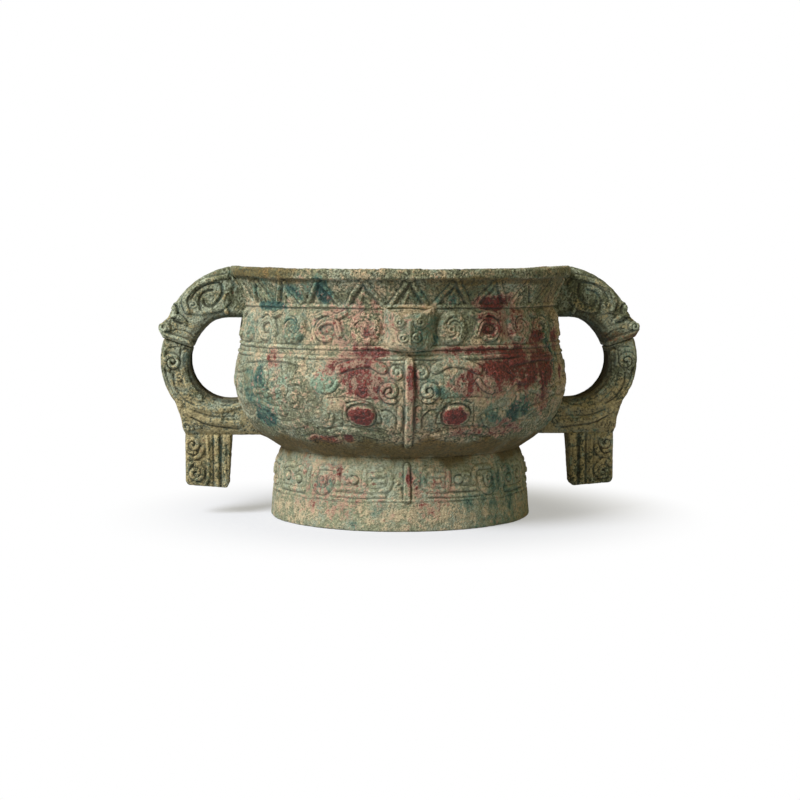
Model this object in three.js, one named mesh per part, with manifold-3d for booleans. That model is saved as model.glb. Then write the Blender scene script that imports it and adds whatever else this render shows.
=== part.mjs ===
// Bronze gui: a round food vessel on a ring foot, with two beast-headed loop handles and their pendants.
// Millimetres, +Z up. The origin is the centre of the ring foot's base, the front mask faces -Y and the
// handles stand at +X and -X. Every length below is a real size and can be changed by itself.
import * as THREE from "three";
import { mergeVertices } from "three/addons/utils/BufferGeometryUtils.js";
import Module from "manifold-3d";

const wasm = await Module();
wasm.setup();

const DEGREE = Math.PI / 180;

// Clearance between neighbouring castings, and how far a piece that is joined to another runs into it.
const GAP = 0.3;
const BITE = 1.5;

// Ring foot, from the ground up.
const FOOT_HEIGHT = 43;
const FOOT_BASE_RADIUS = 81.4;
const FOOT_EDGE = 1.2;
const FOOT_LINE_HEIGHT = 17.5;
const FOOT_LINE_RADIUS = 79.7;
const FOOT_STEP = 0.6;
const FOOT_BAND_RADIUS = 78.9;
const FOOT_SHOULDER_DROP = 5;
const FOOT_SHOULDER_RADIUS = 77;
const FOOT_TOP_RADIUS = 74.8;
const FOOT_WALL = 3.8;

// Bowl: the outer radius of each stage of its profile, and how far the stage stands above the one below.
const LOWER_BELLY_RISE = 12;
const LOWER_BELLY_RADIUS = 91;
const FULL_BELLY_RISE = 15;
const FULL_BELLY_RADIUS = 100.3;
const BELLY_RISE = 17;
const BELLY_RADIUS = 103.8;
const SHOULDER_RISE = 22;
const SHOULDER_RADIUS = 99.8;
const NECK_RISE = 22;
const NECK_RADIUS = 96.8;
const FLARE_RISE = 14;
const FLARE_RADIUS = 102.4;
const LIP_RISE = 5;
const LIP_RADIUS = 106.5;
const LIP_EDGE = 3.6;
const LIP_CHAMFER = 0.8;
// The lip stands higher beside the handles than at the front and back.
const LIP_LIFT = 2.2;
const WALL = 3;
const FLOOR_THICKNESS = 3.2;
const FLOOR_RADIUS = 52;
const FLOOR_DISH = 1.5;
const COLLAR_DEPTH = 4;
const COLLAR_WALL = 3;

const LOWER_BELLY_HEIGHT = FOOT_HEIGHT + LOWER_BELLY_RISE;
const FULL_BELLY_HEIGHT = LOWER_BELLY_HEIGHT + FULL_BELLY_RISE;
const BELLY_HEIGHT = FULL_BELLY_HEIGHT + BELLY_RISE;
const SHOULDER_HEIGHT = BELLY_HEIGHT + SHOULDER_RISE;
const NECK_HEIGHT = SHOULDER_HEIGHT + NECK_RISE;
const FLARE_HEIGHT = NECK_HEIGHT + FLARE_RISE;
const LIP_UNDER_HEIGHT = FLARE_HEIGHT + LIP_RISE;
const LIP_HEIGHT = LIP_UNDER_HEIGHT + LIP_EDGE;

// Chaplets: the bronze spacers cast into the bowl's floor.
const CHAPLET_SIDE = 8;
const CHAPLET_SPACING = 56;

// Raised lines round the bowl: two frame the neck band and one runs below it.
const BOWSTRING_WIDTH = 2.4;
const BOWSTRING_PROUD = 0.7;
const NECK_BAND_TOP = NECK_HEIGHT + 2;
const NECK_BAND_BOTTOM = SHOULDER_HEIGHT;
const LOWER_BOWSTRING_DROP = 4.5;
const LOWER_BOWSTRING_HEIGHT = NECK_BAND_BOTTOM - LOWER_BOWSTRING_DROP;

// Raised ornament: how far it stands off the wall, and the size of each motif.
const RELIEF = 1.2;
const BLADE_COUNT = 24;
const BLADE_WIDTH = 17.5;
const BLADE_TALL = 12.5;
const BLADE_BODY = 2.6;
const BLADE_PROUD = 0.6;
const ROUNDEL_RADIUS = 9.6;
const ROUNDEL_PROUD = 1.6;
const ROUNDEL_ANGLES = [14.6, 42, 69.6];
const MASK_EYE_ANGLE = 15.8;
const MASK_EYE_DROP = 15.8;
const MASK_EYE_WIDTH = 16;
const MASK_EYE_TALL = 12;
const MASK_EYE_PROUD = 2.6;
const HORN_ANGLE = 6.4;
const HORN_ABOVE_BELLY = -3;
const HORN_RADIUS = 4.9;
const HORN_BODY = 2.6;
const HORN_OPENING = 40;
// Low swellings of the mask: its ear, temple, shoulder and haunch, as degrees from the ridge, height above
// the belly, width, height, and how far each stands off the wall.
const MASK_SWELLINGS = [
  { angle: 30.6, rise: -19, width: 13, tall: 9.6, proud: 1.1 },
  { angle: 30.4, rise: 2, width: 20, tall: 12.6, proud: 0.9 },
  { angle: 40.6, rise: -8, width: 8, tall: 7, proud: 0.9 },
  { angle: 57, rise: 2.4, width: 15, tall: 13, proud: 1 },
];
// Raised bands of the mask, each a line of degrees from the ridge and height above the belly.
const MASK_BANDS = [
  { width: 4.4, proud: 0.9, line: [[8.6, 10], [12.5, 13.4], [18, 12.6], [23, 9.4]] },
  { width: 3.6, proud: 0.9, line: [[8.6, -30.2], [15, -27.6], [22.5, -26.4], [29, -28]] },
  { width: 4.6, proud: 0.9, line: [[44.5, -15], [52, -13.4], [62, -11], [71, -13], [79, -9.4]] },
  { width: 4, proud: 0.9, line: [[37, 12.4], [46, 14.6], [55, 14.6], [65, 13.2]] },
  { width: 4, proud: 0.9, line: [[37.5, -22.4], [45, -25], [54, -22.6], [57.4, -15.6]] },
];
// Small dragons of the neck band: a doubled curl, as millimetres from the middle of each.
const DRAGON_ANGLES = [28, 55.6];
const DRAGON_BODY = 3.2;
const DRAGON_PROUD = 1.2;
const DRAGON_HEAD = [[-8, -3.6], [-4.6, 3.2], [3.4, 3.6], [6.6, -0.8], [2, -5.4]];
const DRAGON_TAIL = [[-10, 8.6], [-4, 6.8], [2, 8.8], [8.4, 7.2]];
const HOOK_ANGLES = [20, 50];
const HOOK_WIDTH = 25;
const HOOK_TALL = 14;
const HOOK_BODY = 2.6;
const RIDGE_WIDTH = 3.4;
const RIDGE_PROUD = 2.8;
const RIDGE_MARGIN = 1.5;
const FOOT_RIDGE_PROUD = 1.6;

// Small beast heads on the neck band, front and back.
const CREST_WIDTH = 24.5;
const CREST_CHEEK_WIDTH = 21.5;
const CREST_CHEEK_RISE = 5;
const CREST_CHIN_WIDTH = 15.5;
const CREST_CHIN = 1;
const CREST_TEMPLE_RISE = 16;
const CREST_BROW_WIDTH = 7;
const CREST_BROW_DIP = 5;
const CREST_BROW_PEAK = 1.5;
const CREST_OVERHANG = 1.5;
const CREST_TOP_DROP = 1;
const CREST_PROUD = 8;
const CREST_BEVEL = 1.6;
const CREST_EAR_WIDTH = 9;
const CREST_EAR_TALL = 12;
const CREST_EAR_PROUD = 2.4;
const CREST_EYE_RADIUS = 2.2;
const CREST_EYE_SPACING = 8.4;
const CREST_EYE_RISE = 8.5;
const CREST_SNOUT_WIDTH = 12;
const CREST_SNOUT_TALL = 8;
const CREST_SNOUT_PROUD = 2.3;
const CREST_SNOUT_RISE = 3.5;
const CREST_PEG_RADIUS = 3;
const CREST_PEG_LENGTH = 2;
const CREST_BOTTOM = NECK_BAND_BOTTOM - CREST_OVERHANG;
const CREST_TOP = NECK_BAND_TOP - CREST_TOP_DROP;

// Handle loops: a ring of bronze, open towards the hand, that holds its clay core. The strut under it
// runs to the belly and carries the pendant.
const LOOP_STAND_OFF = 2.8;
const LOOP_ABOVE_BELLY = 10;
const LOOP_INNER_RADIUS = 24.2;
const LOOP_OUTER_RADIUS = 42.8;
const LOOP_DEPTH = 26;
const LOOP_CORNER = 5;
const LOOP_TOP_ANGLE = 19;
const LOOP_STUD_RADIUS = 6;
const LOOP_STUD_PROUD = 1.5;
const LOOP_STUD_ANGLE = 3;
const STRUT_ABOVE_FOOT = 7.5;
const STRUT_MARGIN = 1;
const STRUT_SWELL = 1.4;
const STRUT_SWELL_RISE = 10;
const STRUT_ANGLE = -38;
const STRUT_FALL = 2.4;
const CORE_WIDTH = 15;
const CORE_DEPTH = 8;
const CORE_RECESS = 1;
const CORE_TOP_ANGLE = 10;
const CORE_BOTTOM_ANGLE = -78;
const CORE_END_PLAY = 1;
const LOOP_CENTRE_X = BELLY_RADIUS + LOOP_STAND_OFF;
const LOOP_CENTRE_HEIGHT = BELLY_HEIGHT + LOOP_ABOVE_BELLY;
const STRUT_BOTTOM = FOOT_HEIGHT + STRUT_ABOVE_FOOT;

// Beast heads at the top of the handles. Their places are angles round the ring's centre, up from the
// horizontal, and distances from it.
const HEAD_DEPTH = 28;
const HEAD_BEVEL = 2.4;
const HEAD_ROOT = 7;
const HEAD_TOP_DROP = 0.4;
const HEAD_NOSE_RADIUS = 46.2;
const HEAD_NOSE_ANGLE = 35;
const SNOUT_DISTANCE = 46;
const SNOUT_ANGLE = 26.5;
const SNOUT_TIP_RADIUS = 2.8;
const HEAD_EYE_DISTANCE = 45.5;
const HEAD_EYE_ANGLE = 46;
const HEAD_EYE_RADIUS = 4.2;
const EAR_LENGTH = 25;
const EAR_WIDTH = 18;
const EAR_DISTANCE = 43;
const EAR_ANGLE = 72;
const EAR_TILT = 38;
const EAR_PROUD = 2;
const EAR_BEVEL = 1;
const TONGUE_WIDTH = 10;
const TONGUE_THICKNESS = 8;
const TONGUE_LENGTH = 6;
const HEAD_CROWN_RADIUS = LIP_HEIGHT + LIP_LIFT - HEAD_TOP_DROP - LOOP_CENTRE_HEIGHT;

// Bosses on the bowl that the handles are cast onto.
const BOSS_RADIUS = 5;
const BOSS_LENGTH = 4.5;
const UPPER_BOSS_RISE = 6;
const UPPER_BOSS_HEIGHT = NECK_HEIGHT + UPPER_BOSS_RISE;
const LOWER_BOSS_HEIGHT = (STRUT_BOTTOM + LOOP_CENTRE_HEIGHT - LOOP_INNER_RADIUS) / 2;

// Pendants under the handles, with grooves on their inner half and a tail scroll on their outer half.
const PENDANT_INSET = 1;
const PENDANT_WIDTH = 29;
const PENDANT_BOTTOM = 17;
const PENDANT_DEPTH = 19;
const PENDANT_BEVEL = 1.6;
const PENDANT_CORNER = 2.2;
const PEG_WIDTH = 12;
const PEG_DEPTH = 8;
const PEG_LENGTH = 5;
const GROOVE_SPACING = 4.6;
const GROOVE_WIDTH = 1.2;
const GROOVE_DEPTH = 1.1;
const GROOVE_COUNT = 2;
const GROOVE_MARGIN = 3;
const TAIL_BODY = 3;
const TAIL_PROUD = 1.2;
const TAIL_MARGIN = 3.5;
const TAIL_WIDTH = 7;
const PENDANT_INNER_X = LOOP_CENTRE_X - PENDANT_INSET;
const PENDANT_OUTER_X = PENDANT_INNER_X + PENDANT_WIDTH;

// How finely round shapes are cut.
const ROUND_STEPS = 48;
const SMALL_STEPS = 10;
const BEAD_STEPS = 8;
const BEAD_RINGS = 6;
const PLAQUE_STEPS = 5;
const PROFILE_STEPS = 11;
const FOOT_PROFILE_STEPS = 3;
const RIDGE_STEPS = 6;
const RIBBON_STEPS = 8;
const BAND_STEPS = 5;
const ARC_STEPS = 6;
const CORNER_STEPS = 3;
const HEAD_STEPS = 7;
const HOOK_STEP = 9;
const SHORTEST_EDGE = 0.3;
const MERGE_DISTANCE = 1e-4;
// The least skin that stays over the bare wall where ornament is shaved off it.
const SEAT_SKIN = 0.02;

const bronze = new THREE.MeshStandardMaterial({ color: 0x87866c, roughness: 0.75, metalness: 0.15 });
const darkBronze = new THREE.MeshStandardMaterial({ color: 0x5d5d45, roughness: 0.7, metalness: 0.15 });
const paleBronze = new THREE.MeshStandardMaterial({ color: 0x9a9478, roughness: 0.8, metalness: 0.1 });
const chapletBronze = new THREE.MeshStandardMaterial({ color: 0x6e5a3f, roughness: 0.65, metalness: 0.3 });
const clay = new THREE.MeshStandardMaterial({ color: 0x3f2f22, roughness: 0.95, metalness: 0 });

// A closed three.js geometry as a solid that can be joined and cut.
function solid(geometry) {
  const bare = geometry.clone();
  bare.deleteAttribute("normal");
  bare.deleteAttribute("uv");
  const merged = mergeVertices(bare, MERGE_DISTANCE);
  return new wasm.Manifold(
    new wasm.Mesh({
      numProp: 3,
      vertProperties: merged.attributes.position.array,
      triVerts: new Uint32Array(merged.index.array),
    }),
  );
}

function geometryOf(body) {
  const mesh = body.getMesh();
  const geometry = new THREE.BufferGeometry();
  geometry.setAttribute("position", new THREE.BufferAttribute(mesh.vertProperties, 3));
  geometry.setIndex(new THREE.BufferAttribute(mesh.triVerts, 1));
  geometry.computeVertexNormals();
  return geometry;
}

// Turns a geometry drawn in X and Y so that its Y stands up along +Z and its depth runs along -Y.
function stand(geometry) {
  return geometry.applyMatrix4(new THREE.Matrix4().set(1, 0, 0, 0, 0, 0, -1, 0, 0, 1, 0, 0, 0, 0, 0, 1));
}

// A solid of revolution about Z from [radius, height] pairs. They start and end on the axis, or close on
// themselves.
function revolve(points) {
  const profile = points.map(([radius, height]) => new THREE.Vector2(radius, height));
  return stand(new THREE.LatheGeometry(profile, ROUND_STEPS));
}

// The outline of a shape with the doubled points left out where its lines and arcs meet.
function outlineOf(shape, curveSegments) {
  const points = shape.getPoints(curveSegments);
  return new THREE.Shape(
    points.filter((point, index) => point.distanceTo(points[(index + 1) % points.length]) > SHORTEST_EDGE),
  );
}

// A shape drawn in X and height, extruded along Y about the XZ plane, with its edges chamfered.
function slab(shape, depth, bevel, curveSegments = ARC_STEPS) {
  const geometry = new THREE.ExtrudeGeometry(outlineOf(shape, curveSegments), {
    depth: depth - 2 * bevel,
    bevelEnabled: bevel > 0,
    bevelThickness: bevel,
    bevelSize: bevel,
    bevelOffset: -bevel,
    bevelSegments: 1,
    steps: 1,
  });
  return stand(geometry.translate(0, 0, bevel - depth / 2));
}

function box(width, depth, height, x, y, z) {
  return new THREE.BoxGeometry(width, depth, height).translate(x, y, z);
}

// The outside of the bowl and of the foot, as smooth curves of radius and height.
const bowlCurve = new THREE.SplineCurve([
  new THREE.Vector2(FOOT_TOP_RADIUS, FOOT_HEIGHT),
  new THREE.Vector2(LOWER_BELLY_RADIUS, LOWER_BELLY_HEIGHT),
  new THREE.Vector2(FULL_BELLY_RADIUS, FULL_BELLY_HEIGHT),
  new THREE.Vector2(BELLY_RADIUS, BELLY_HEIGHT),
  new THREE.Vector2(SHOULDER_RADIUS, SHOULDER_HEIGHT),
  new THREE.Vector2(NECK_RADIUS, NECK_HEIGHT),
  new THREE.Vector2(FLARE_RADIUS, FLARE_HEIGHT),
  new THREE.Vector2(LIP_RADIUS, LIP_UNDER_HEIGHT),
]);
const footCurve = new THREE.SplineCurve([
  new THREE.Vector2(FOOT_LINE_RADIUS, FOOT_LINE_HEIGHT),
  new THREE.Vector2(FOOT_BAND_RADIUS, (FOOT_LINE_HEIGHT + FOOT_HEIGHT) / 2),
  new THREE.Vector2(FOOT_SHOULDER_RADIUS, FOOT_HEIGHT - FOOT_SHOULDER_DROP),
  new THREE.Vector2(FOOT_TOP_RADIUS, FOOT_HEIGHT),
]);
const bowlPoints = bowlCurve.getSpacedPoints(PROFILE_STEPS).map((point) => [point.x, point.y]);
const footPoints = footCurve.getSpacedPoints(FOOT_PROFILE_STEPS).map((point) => [point.x, point.y]);

// The radius of the outside at a height, read off a profile whose heights rise and carried on past its ends.
function radiusAt(points, height) {
  const above = points.findIndex(([, pointHeight], index) => index > 0 && pointHeight >= height);
  const upper = above < 0 ? points.length - 1 : above;
  const [upperRadius, upperHeight] = points[upper];
  const [lowerRadius, lowerHeight] = points[upper - 1];
  const share = (height - lowerHeight) / (upperHeight - lowerHeight);
  return lowerRadius + share * (upperRadius - lowerRadius);
}

// The lip's rise beside the handles: none at the front and back, and none below the neck.
function liftLip(geometry) {
  const position = geometry.attributes.position;
  for (let i = 0; i < position.count; i++) {
    const x = position.getX(i);
    const y = position.getY(i);
    const z = position.getZ(i);
    const reach = Math.hypot(x, y);
    const climb = THREE.MathUtils.smoothstep(z, NECK_HEIGHT, LIP_UNDER_HEIGHT);
    if (reach > FLOOR_RADIUS) position.setZ(i, z + LIP_LIFT * climb * (x / reach) ** 4);
  }
  return geometry;
}

// Wraps a flat shape, drawn in arc length and height, onto a wall of the given profile, and makes it a
// plaque that stands proud of the wall and runs a little way into it.
function plaque(shape, points, angle, height, proud) {
  const geometry = new THREE.ExtrudeGeometry(shape, {
    depth: proud + BITE,
    bevelEnabled: false,
    curveSegments: PLAQUE_STEPS,
    steps: 1,
  });
  const position = geometry.attributes.position;
  const middle = radiusAt(points, height);
  for (let i = 0; i < position.count; i++) {
    const turn = angle * DEGREE + position.getX(i) / middle;
    const z = height + position.getY(i);
    const radius = radiusAt(points, z) - BITE + position.getZ(i);
    position.setXYZ(i, radius * Math.sin(turn), -radius * Math.cos(turn), z);
  }
  return geometry;
}

function shapeOf(points) {
  return new THREE.Shape(points.map(([x, y]) => new THREE.Vector2(x, y)));
}

function discShape(halfWidth, halfHeight = halfWidth) {
  return new THREE.Shape().absellipse(0, 0, halfWidth, halfHeight, 0, 2 * Math.PI);
}

// The outline of a band of even width along a curve.
function ribbon(curve, width, steps) {
  const left = [];
  const right = [];
  for (let i = 0; i <= steps; i++) {
    const point = curve.getPoint(i / steps);
    const tangent = curve.getTangent(i / steps);
    left.push([point.x - (tangent.y * width) / 2, point.y + (tangent.x * width) / 2]);
    right.unshift([point.x + (tangent.y * width) / 2, point.y - (tangent.x * width) / 2]);
  }
  return shapeOf([...left, ...right]);
}

function splineOf(points) {
  return new THREE.SplineCurve(points.map(([x, y]) => new THREE.Vector2(x, y)));
}

// An upright blade: two narrow legs that meet at a point.
function bladeShape() {
  const half = BLADE_WIDTH / 2;
  return shapeOf([
    [-half, 0],
    [BLADE_BODY - half, 0],
    [0, BLADE_TALL - (BLADE_BODY * BLADE_TALL) / half],
    [half - BLADE_BODY, 0],
    [half, 0],
    [0, BLADE_TALL],
  ]);
}

// The squared hooks of the foot's dragons, with long bars cut short enough to follow the wall.
function hookShape(side) {
  const half = HOOK_WIDTH / 2;
  const tall = HOOK_TALL / 2;
  const corners = [
    [half, tall - HOOK_BODY],
    [half, tall],
    [-half, tall],
    [-half, -HOOK_BODY / 2],
    [half - HOOK_BODY, -HOOK_BODY / 2],
    [half - HOOK_BODY, HOOK_BODY - tall],
    [-half, HOOK_BODY - tall],
    [-half, -tall],
    [half, -tall],
    [half, HOOK_BODY / 2],
    [HOOK_BODY - half, HOOK_BODY / 2],
    [HOOK_BODY - half, tall - HOOK_BODY],
  ];
  const points = corners.flatMap(([x, y], index) => {
    const [nextX, nextY] = corners[(index + 1) % corners.length];
    const pieces = Math.ceil(Math.abs(nextX - x) / HOOK_STEP) || 1;
    const shares = Array.from({ length: pieces }, (_, i) => i / pieces);
    return shares.map((share) => [x + (nextX - x) * share, y + (nextY - y) * share]);
  });
  return shapeOf(side > 0 ? points : points.map(([x, y]) => [-x, y]));
}

// The C-shaped scroll of a horn, which opens to one side.
function hornShape(side) {
  const end = HORN_OPENING * DEGREE;
  const arc = new THREE.EllipseCurve(0, 0, HORN_RADIUS, HORN_RADIUS, end, -end);
  const points = arc.getPoints(RIBBON_STEPS).map((point) => [side * point.x, point.y]);
  return ribbon(splineOf(points), HORN_BODY, RIBBON_STEPS);
}

// A raised band that follows a line of degrees from the ridge and height above the belly.
function maskBand({ line, width, proud }, side, turn) {
  const reach = radiusAt(bowlPoints, BELLY_HEIGHT) * DEGREE;
  const curve = splineOf(line.map(([degrees, rise]) => [side * degrees * reach, rise]));
  return plaque(ribbon(curve, width, BAND_STEPS), bowlPoints, turn, BELLY_HEIGHT, proud);
}

// One curl of a small dragon, mirrored on the other side of the ridge.
function dragonCurl(points, side) {
  return ribbon(splineOf(points.map(([x, y]) => [side * x, y])), DRAGON_BODY, BAND_STEPS);
}

function bothSides(angles) {
  return angles.flatMap((angle) => [
    [angle, 1],
    [-angle, -1],
  ]);
}

// Everything that repeats at the front and at the back.
function frontAndBack(make) {
  return [0, 180].flatMap((turn) => make(turn));
}

function bowlOrnament() {
  const pieces = [];
  for (let i = 0; i < BLADE_COUNT; i++) {
    pieces.push(plaque(bladeShape(), bowlPoints, (i * 360) / BLADE_COUNT, NECK_BAND_TOP + BITE, BLADE_PROUD));
  }
  const bandHeight = (NECK_BAND_TOP + NECK_BAND_BOTTOM) / 2;
  const eyeHeight = BELLY_HEIGHT - MASK_EYE_DROP;
  const hornHeight = BELLY_HEIGHT + HORN_ABOVE_BELLY;
  const ridgeBottom = LOWER_BELLY_HEIGHT - RIDGE_MARGIN;
  const ridgeTop = LOWER_BOWSTRING_HEIGHT - RIDGE_MARGIN;
  const roundel = discShape(ROUNDEL_RADIUS);
  const eye = discShape(MASK_EYE_WIDTH / 2, MASK_EYE_TALL / 2);
  const front = (turn) => [
    ...bothSides(ROUNDEL_ANGLES).map(([angle]) =>
      plaque(roundel, bowlPoints, turn + angle, bandHeight, ROUNDEL_PROUD),
    ),
    ...bothSides([MASK_EYE_ANGLE]).map(([angle]) =>
      plaque(eye, bowlPoints, turn + angle, eyeHeight, MASK_EYE_PROUD),
    ),
    ...bothSides([HORN_ANGLE]).map(([angle, side]) =>
      plaque(hornShape(side), bowlPoints, turn + angle, hornHeight, RELIEF),
    ),
    ...bothSides(DRAGON_ANGLES).flatMap(([angle, side]) =>
      [DRAGON_HEAD, DRAGON_TAIL].map((curl) =>
        plaque(dragonCurl(curl, side), bowlPoints, turn + angle, bandHeight, DRAGON_PROUD),
      ),
    ),
    ...MASK_SWELLINGS.flatMap(({ angle, rise, width, tall, proud }) =>
      bothSides([angle]).map(([degrees]) =>
        plaque(discShape(width / 2, tall / 2), bowlPoints, turn + degrees, BELLY_HEIGHT + rise, proud),
      ),
    ),
    ...MASK_BANDS.flatMap((band) => [1, -1].map((side) => maskBand(band, side, turn))),
    ridge(bowlPoints, turn, ridgeBottom, ridgeTop, RIDGE_PROUD),
  ];
  return [...pieces, ...frontAndBack(front)];
}

// A vertical ridge down the wall: an upright plate whose edges follow the profile.
function ridge(points, turn, bottom, top, proud) {
  const outer = [];
  const inner = [];
  for (let i = 0; i <= RIDGE_STEPS; i++) {
    const height = bottom + ((top - bottom) * i) / RIDGE_STEPS;
    outer.push([radiusAt(points, height) + proud, height]);
    inner.unshift([radiusAt(points, height) - BITE, height]);
  }
  return slab(shapeOf([...outer, ...inner]), RIDGE_WIDTH, 0).rotateZ(turn * DEGREE - Math.PI / 2);
}

// The bowl's outside with its raised lines.
function linedPoints() {
  const lines = [NECK_BAND_TOP, NECK_BAND_BOTTOM, LOWER_BOWSTRING_HEIGHT].flatMap((height) =>
    [-1, 0, 1].map((offset) => {
      const z = height + (offset * BOWSTRING_WIDTH) / 2;
      return [radiusAt(bowlPoints, z) + (offset === 0 ? BOWSTRING_PROUD : 0), z];
    }),
  );
  const clear = bowlPoints.filter(([, height]) =>
    lines.every(([, z]) => Math.abs(z - height) > BOWSTRING_WIDTH / 2),
  );
  return [...clear, ...lines].sort((first, second) => first[1] - second[1]);
}

// The bowl's own profile: collar, outer wall, lip, inner wall and floor.
function bowlBody() {
  const collarOuter = footMouthRadius() - GAP;
  const collarInner = collarOuter - COLLAR_WALL;
  const floorUnder = FOOT_HEIGHT - FLOOR_DISH;
  const floorTop = floorUnder + FLOOR_THICKNESS;
  const inner = bowlPoints
    .filter(([, height], index) => index % 2 === 1 && height > floorTop + WALL && height < LIP_UNDER_HEIGHT)
    .map(([radius, height]) => [radius - WALL, height])
    .reverse();
  const profile = [
    [0, floorUnder],
    [collarInner, FOOT_HEIGHT - COLLAR_DEPTH / 2],
    [collarInner, FOOT_HEIGHT - COLLAR_DEPTH],
    [collarOuter, FOOT_HEIGHT - COLLAR_DEPTH],
    [collarOuter, FOOT_HEIGHT],
    ...linedPoints(),
    [LIP_RADIUS, LIP_HEIGHT - LIP_CHAMFER],
    [LIP_RADIUS - LIP_CHAMFER, LIP_HEIGHT],
    [LIP_RADIUS - WALL, LIP_HEIGHT],
    ...inner,
    [FLOOR_RADIUS, floorTop + FLOOR_DISH],
    [0, floorTop],
  ];
  return liftLip(revolve(profile));
}

// A round boss on the bowl's wall, or with a clearance the socket that is cast round it.
function boss(height, clearance = 0) {
  const radius = BOSS_RADIUS + clearance;
  const start = radiusAt(bowlPoints, height) - 2 * BOSS_RADIUS;
  const end = radiusAt(bowlPoints, height) + BOSS_LENGTH + clearance;
  const bar = new THREE.CylinderGeometry(radius, radius, end - start, SMALL_STEPS)
    .rotateZ(Math.PI / 2)
    .translate((start + end) / 2, 0, height);
  return solid(bar).subtract(bowlEnvelope(-WALL / 2));
}

// What takes the ornament off where a handle root or a small beast head stands on the wall.
function seat(width, bottom, top) {
  const block = box(LIP_RADIUS, width + 2 * GAP, top - bottom + 2 * GAP, LIP_RADIUS, 0, (top + bottom) / 2);
  return solid(block).subtract(bowlEnvelope(SEAT_SKIN));
}

function bowl() {
  const strutTop = LOOP_CENTRE_HEIGHT - LOOP_INNER_RADIUS;
  const holeTop = LOOP_CENTRE_HEIGHT + LOOP_INNER_RADIUS;
  let body = solid(bowlBody());
  for (const piece of bowlOrnament()) body = body.add(solid(piece));
  const headWidth = HEAD_DEPTH + 2 * EAR_PROUD;
  for (const turn of [0, 180]) {
    body = body
      .subtract(seat(headWidth, holeTop - HEAD_BEVEL, LIP_HEIGHT + LIP_LIFT).rotate([0, 0, turn]))
      .subtract(seat(LOOP_DEPTH, STRUT_BOTTOM, strutTop).rotate([0, 0, turn]))
      .subtract(seat(CREST_WIDTH, CREST_BOTTOM - CREST_CHIN, CREST_TOP).rotate([0, 0, turn + 90]))
      .subtract(solid(crestPeg(GAP).rotateZ(turn * DEGREE)))
      .add(boss(UPPER_BOSS_HEIGHT).rotate([0, 0, turn]))
      .add(boss(LOWER_BOSS_HEIGHT).rotate([0, 0, turn]));
  }
  for (const spot of chapletPlaces()) body = body.subtract(chapletBlock(spot, GAP));
  return body;
}

// The narrowest that the foot is inside, over the height that the bowl's collar reaches down.
function footMouthRadius() {
  const depths = [0, COLLAR_DEPTH / 2, COLLAR_DEPTH];
  return Math.min(...depths.map((depth) => radiusAt(footPoints, FOOT_HEIGHT - depth))) - FOOT_WALL;
}

function ringFoot() {
  const inner = [...footPoints].reverse().map(([radius, height]) => [radius - FOOT_WALL, height]);
  const stepRadius = FOOT_LINE_RADIUS + FOOT_STEP;
  const profile = [
    [FOOT_BASE_RADIUS - FOOT_WALL, 0],
    [FOOT_BASE_RADIUS - FOOT_EDGE, 0],
    [FOOT_BASE_RADIUS, FOOT_EDGE],
    [stepRadius, FOOT_LINE_HEIGHT - FOOT_STEP],
    ...footPoints,
    ...inner,
    [FOOT_BASE_RADIUS - FOOT_WALL, 0],
  ];
  let body = solid(revolve(profile));
  const bandTop = FOOT_HEIGHT - FOOT_SHOULDER_DROP;
  const bandHeight = (FOOT_LINE_HEIGHT + bandTop) / 2;
  const motifs = frontAndBack((turn) => [
    ...bothSides(HOOK_ANGLES).map(([angle, side]) =>
      plaque(hookShape(side), footPoints, turn + angle, bandHeight, RELIEF),
    ),
    ridge(footPoints, turn, FOOT_LINE_HEIGHT + RIDGE_MARGIN, bandTop - RIDGE_MARGIN, FOOT_RIDGE_PROUD),
  ]);
  for (const motif of motifs) body = body.add(solid(motif));
  return body;
}

function chapletPlaces() {
  const reach = CHAPLET_SPACING / 2;
  return [
    [-reach, -reach],
    [reach, -reach],
    [reach, reach],
    [-reach, reach],
  ];
}

function chapletBlock([x, y], clearance = 0) {
  const side = CHAPLET_SIDE + 2 * clearance;
  return solid(box(side, side, 4 * FLOOR_THICKNESS, x, y, FOOT_HEIGHT));
}

// A chaplet fills its square hole from the floor's underside to its top.
function chaplet(spot) {
  return solid(bowlBody()).intersect(chapletBlock(spot));
}

// The bare bowl, filled in and grown by a clearance: what is fixed to its outside is trimmed by this.
function bowlEnvelope(clearance) {
  const top = LIP_HEIGHT + LIP_LIFT + GAP;
  const profile = [
    [0, FOOT_HEIGHT],
    ...bowlPoints.map(([radius, height]) => [radius + clearance, height]),
    [LIP_RADIUS + clearance, top],
    [0, top],
  ];
  return solid(revolve(profile));
}

// The peg that seats a small beast head in the wall, or with a clearance its hole.
function crestPeg(clearance = 0) {
  const height = (CREST_TOP + CREST_BOTTOM) / 2;
  const radius = CREST_PEG_RADIUS + clearance;
  const length = CREST_PEG_LENGTH + clearance + 2 * BITE;
  const reach = radiusAt(bowlPoints, height) - CREST_PEG_LENGTH - clearance + length / 2;
  return new THREE.CylinderGeometry(radius, radius, length, SMALL_STEPS).translate(0, -reach, height);
}

function bead(width, depth, tall, x, y, z) {
  const ball = new THREE.SphereGeometry(1, BEAD_STEPS, BEAD_RINGS);
  return solid(ball.scale(width / 2, depth / 2, tall / 2).translate(x, y, z));
}

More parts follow.
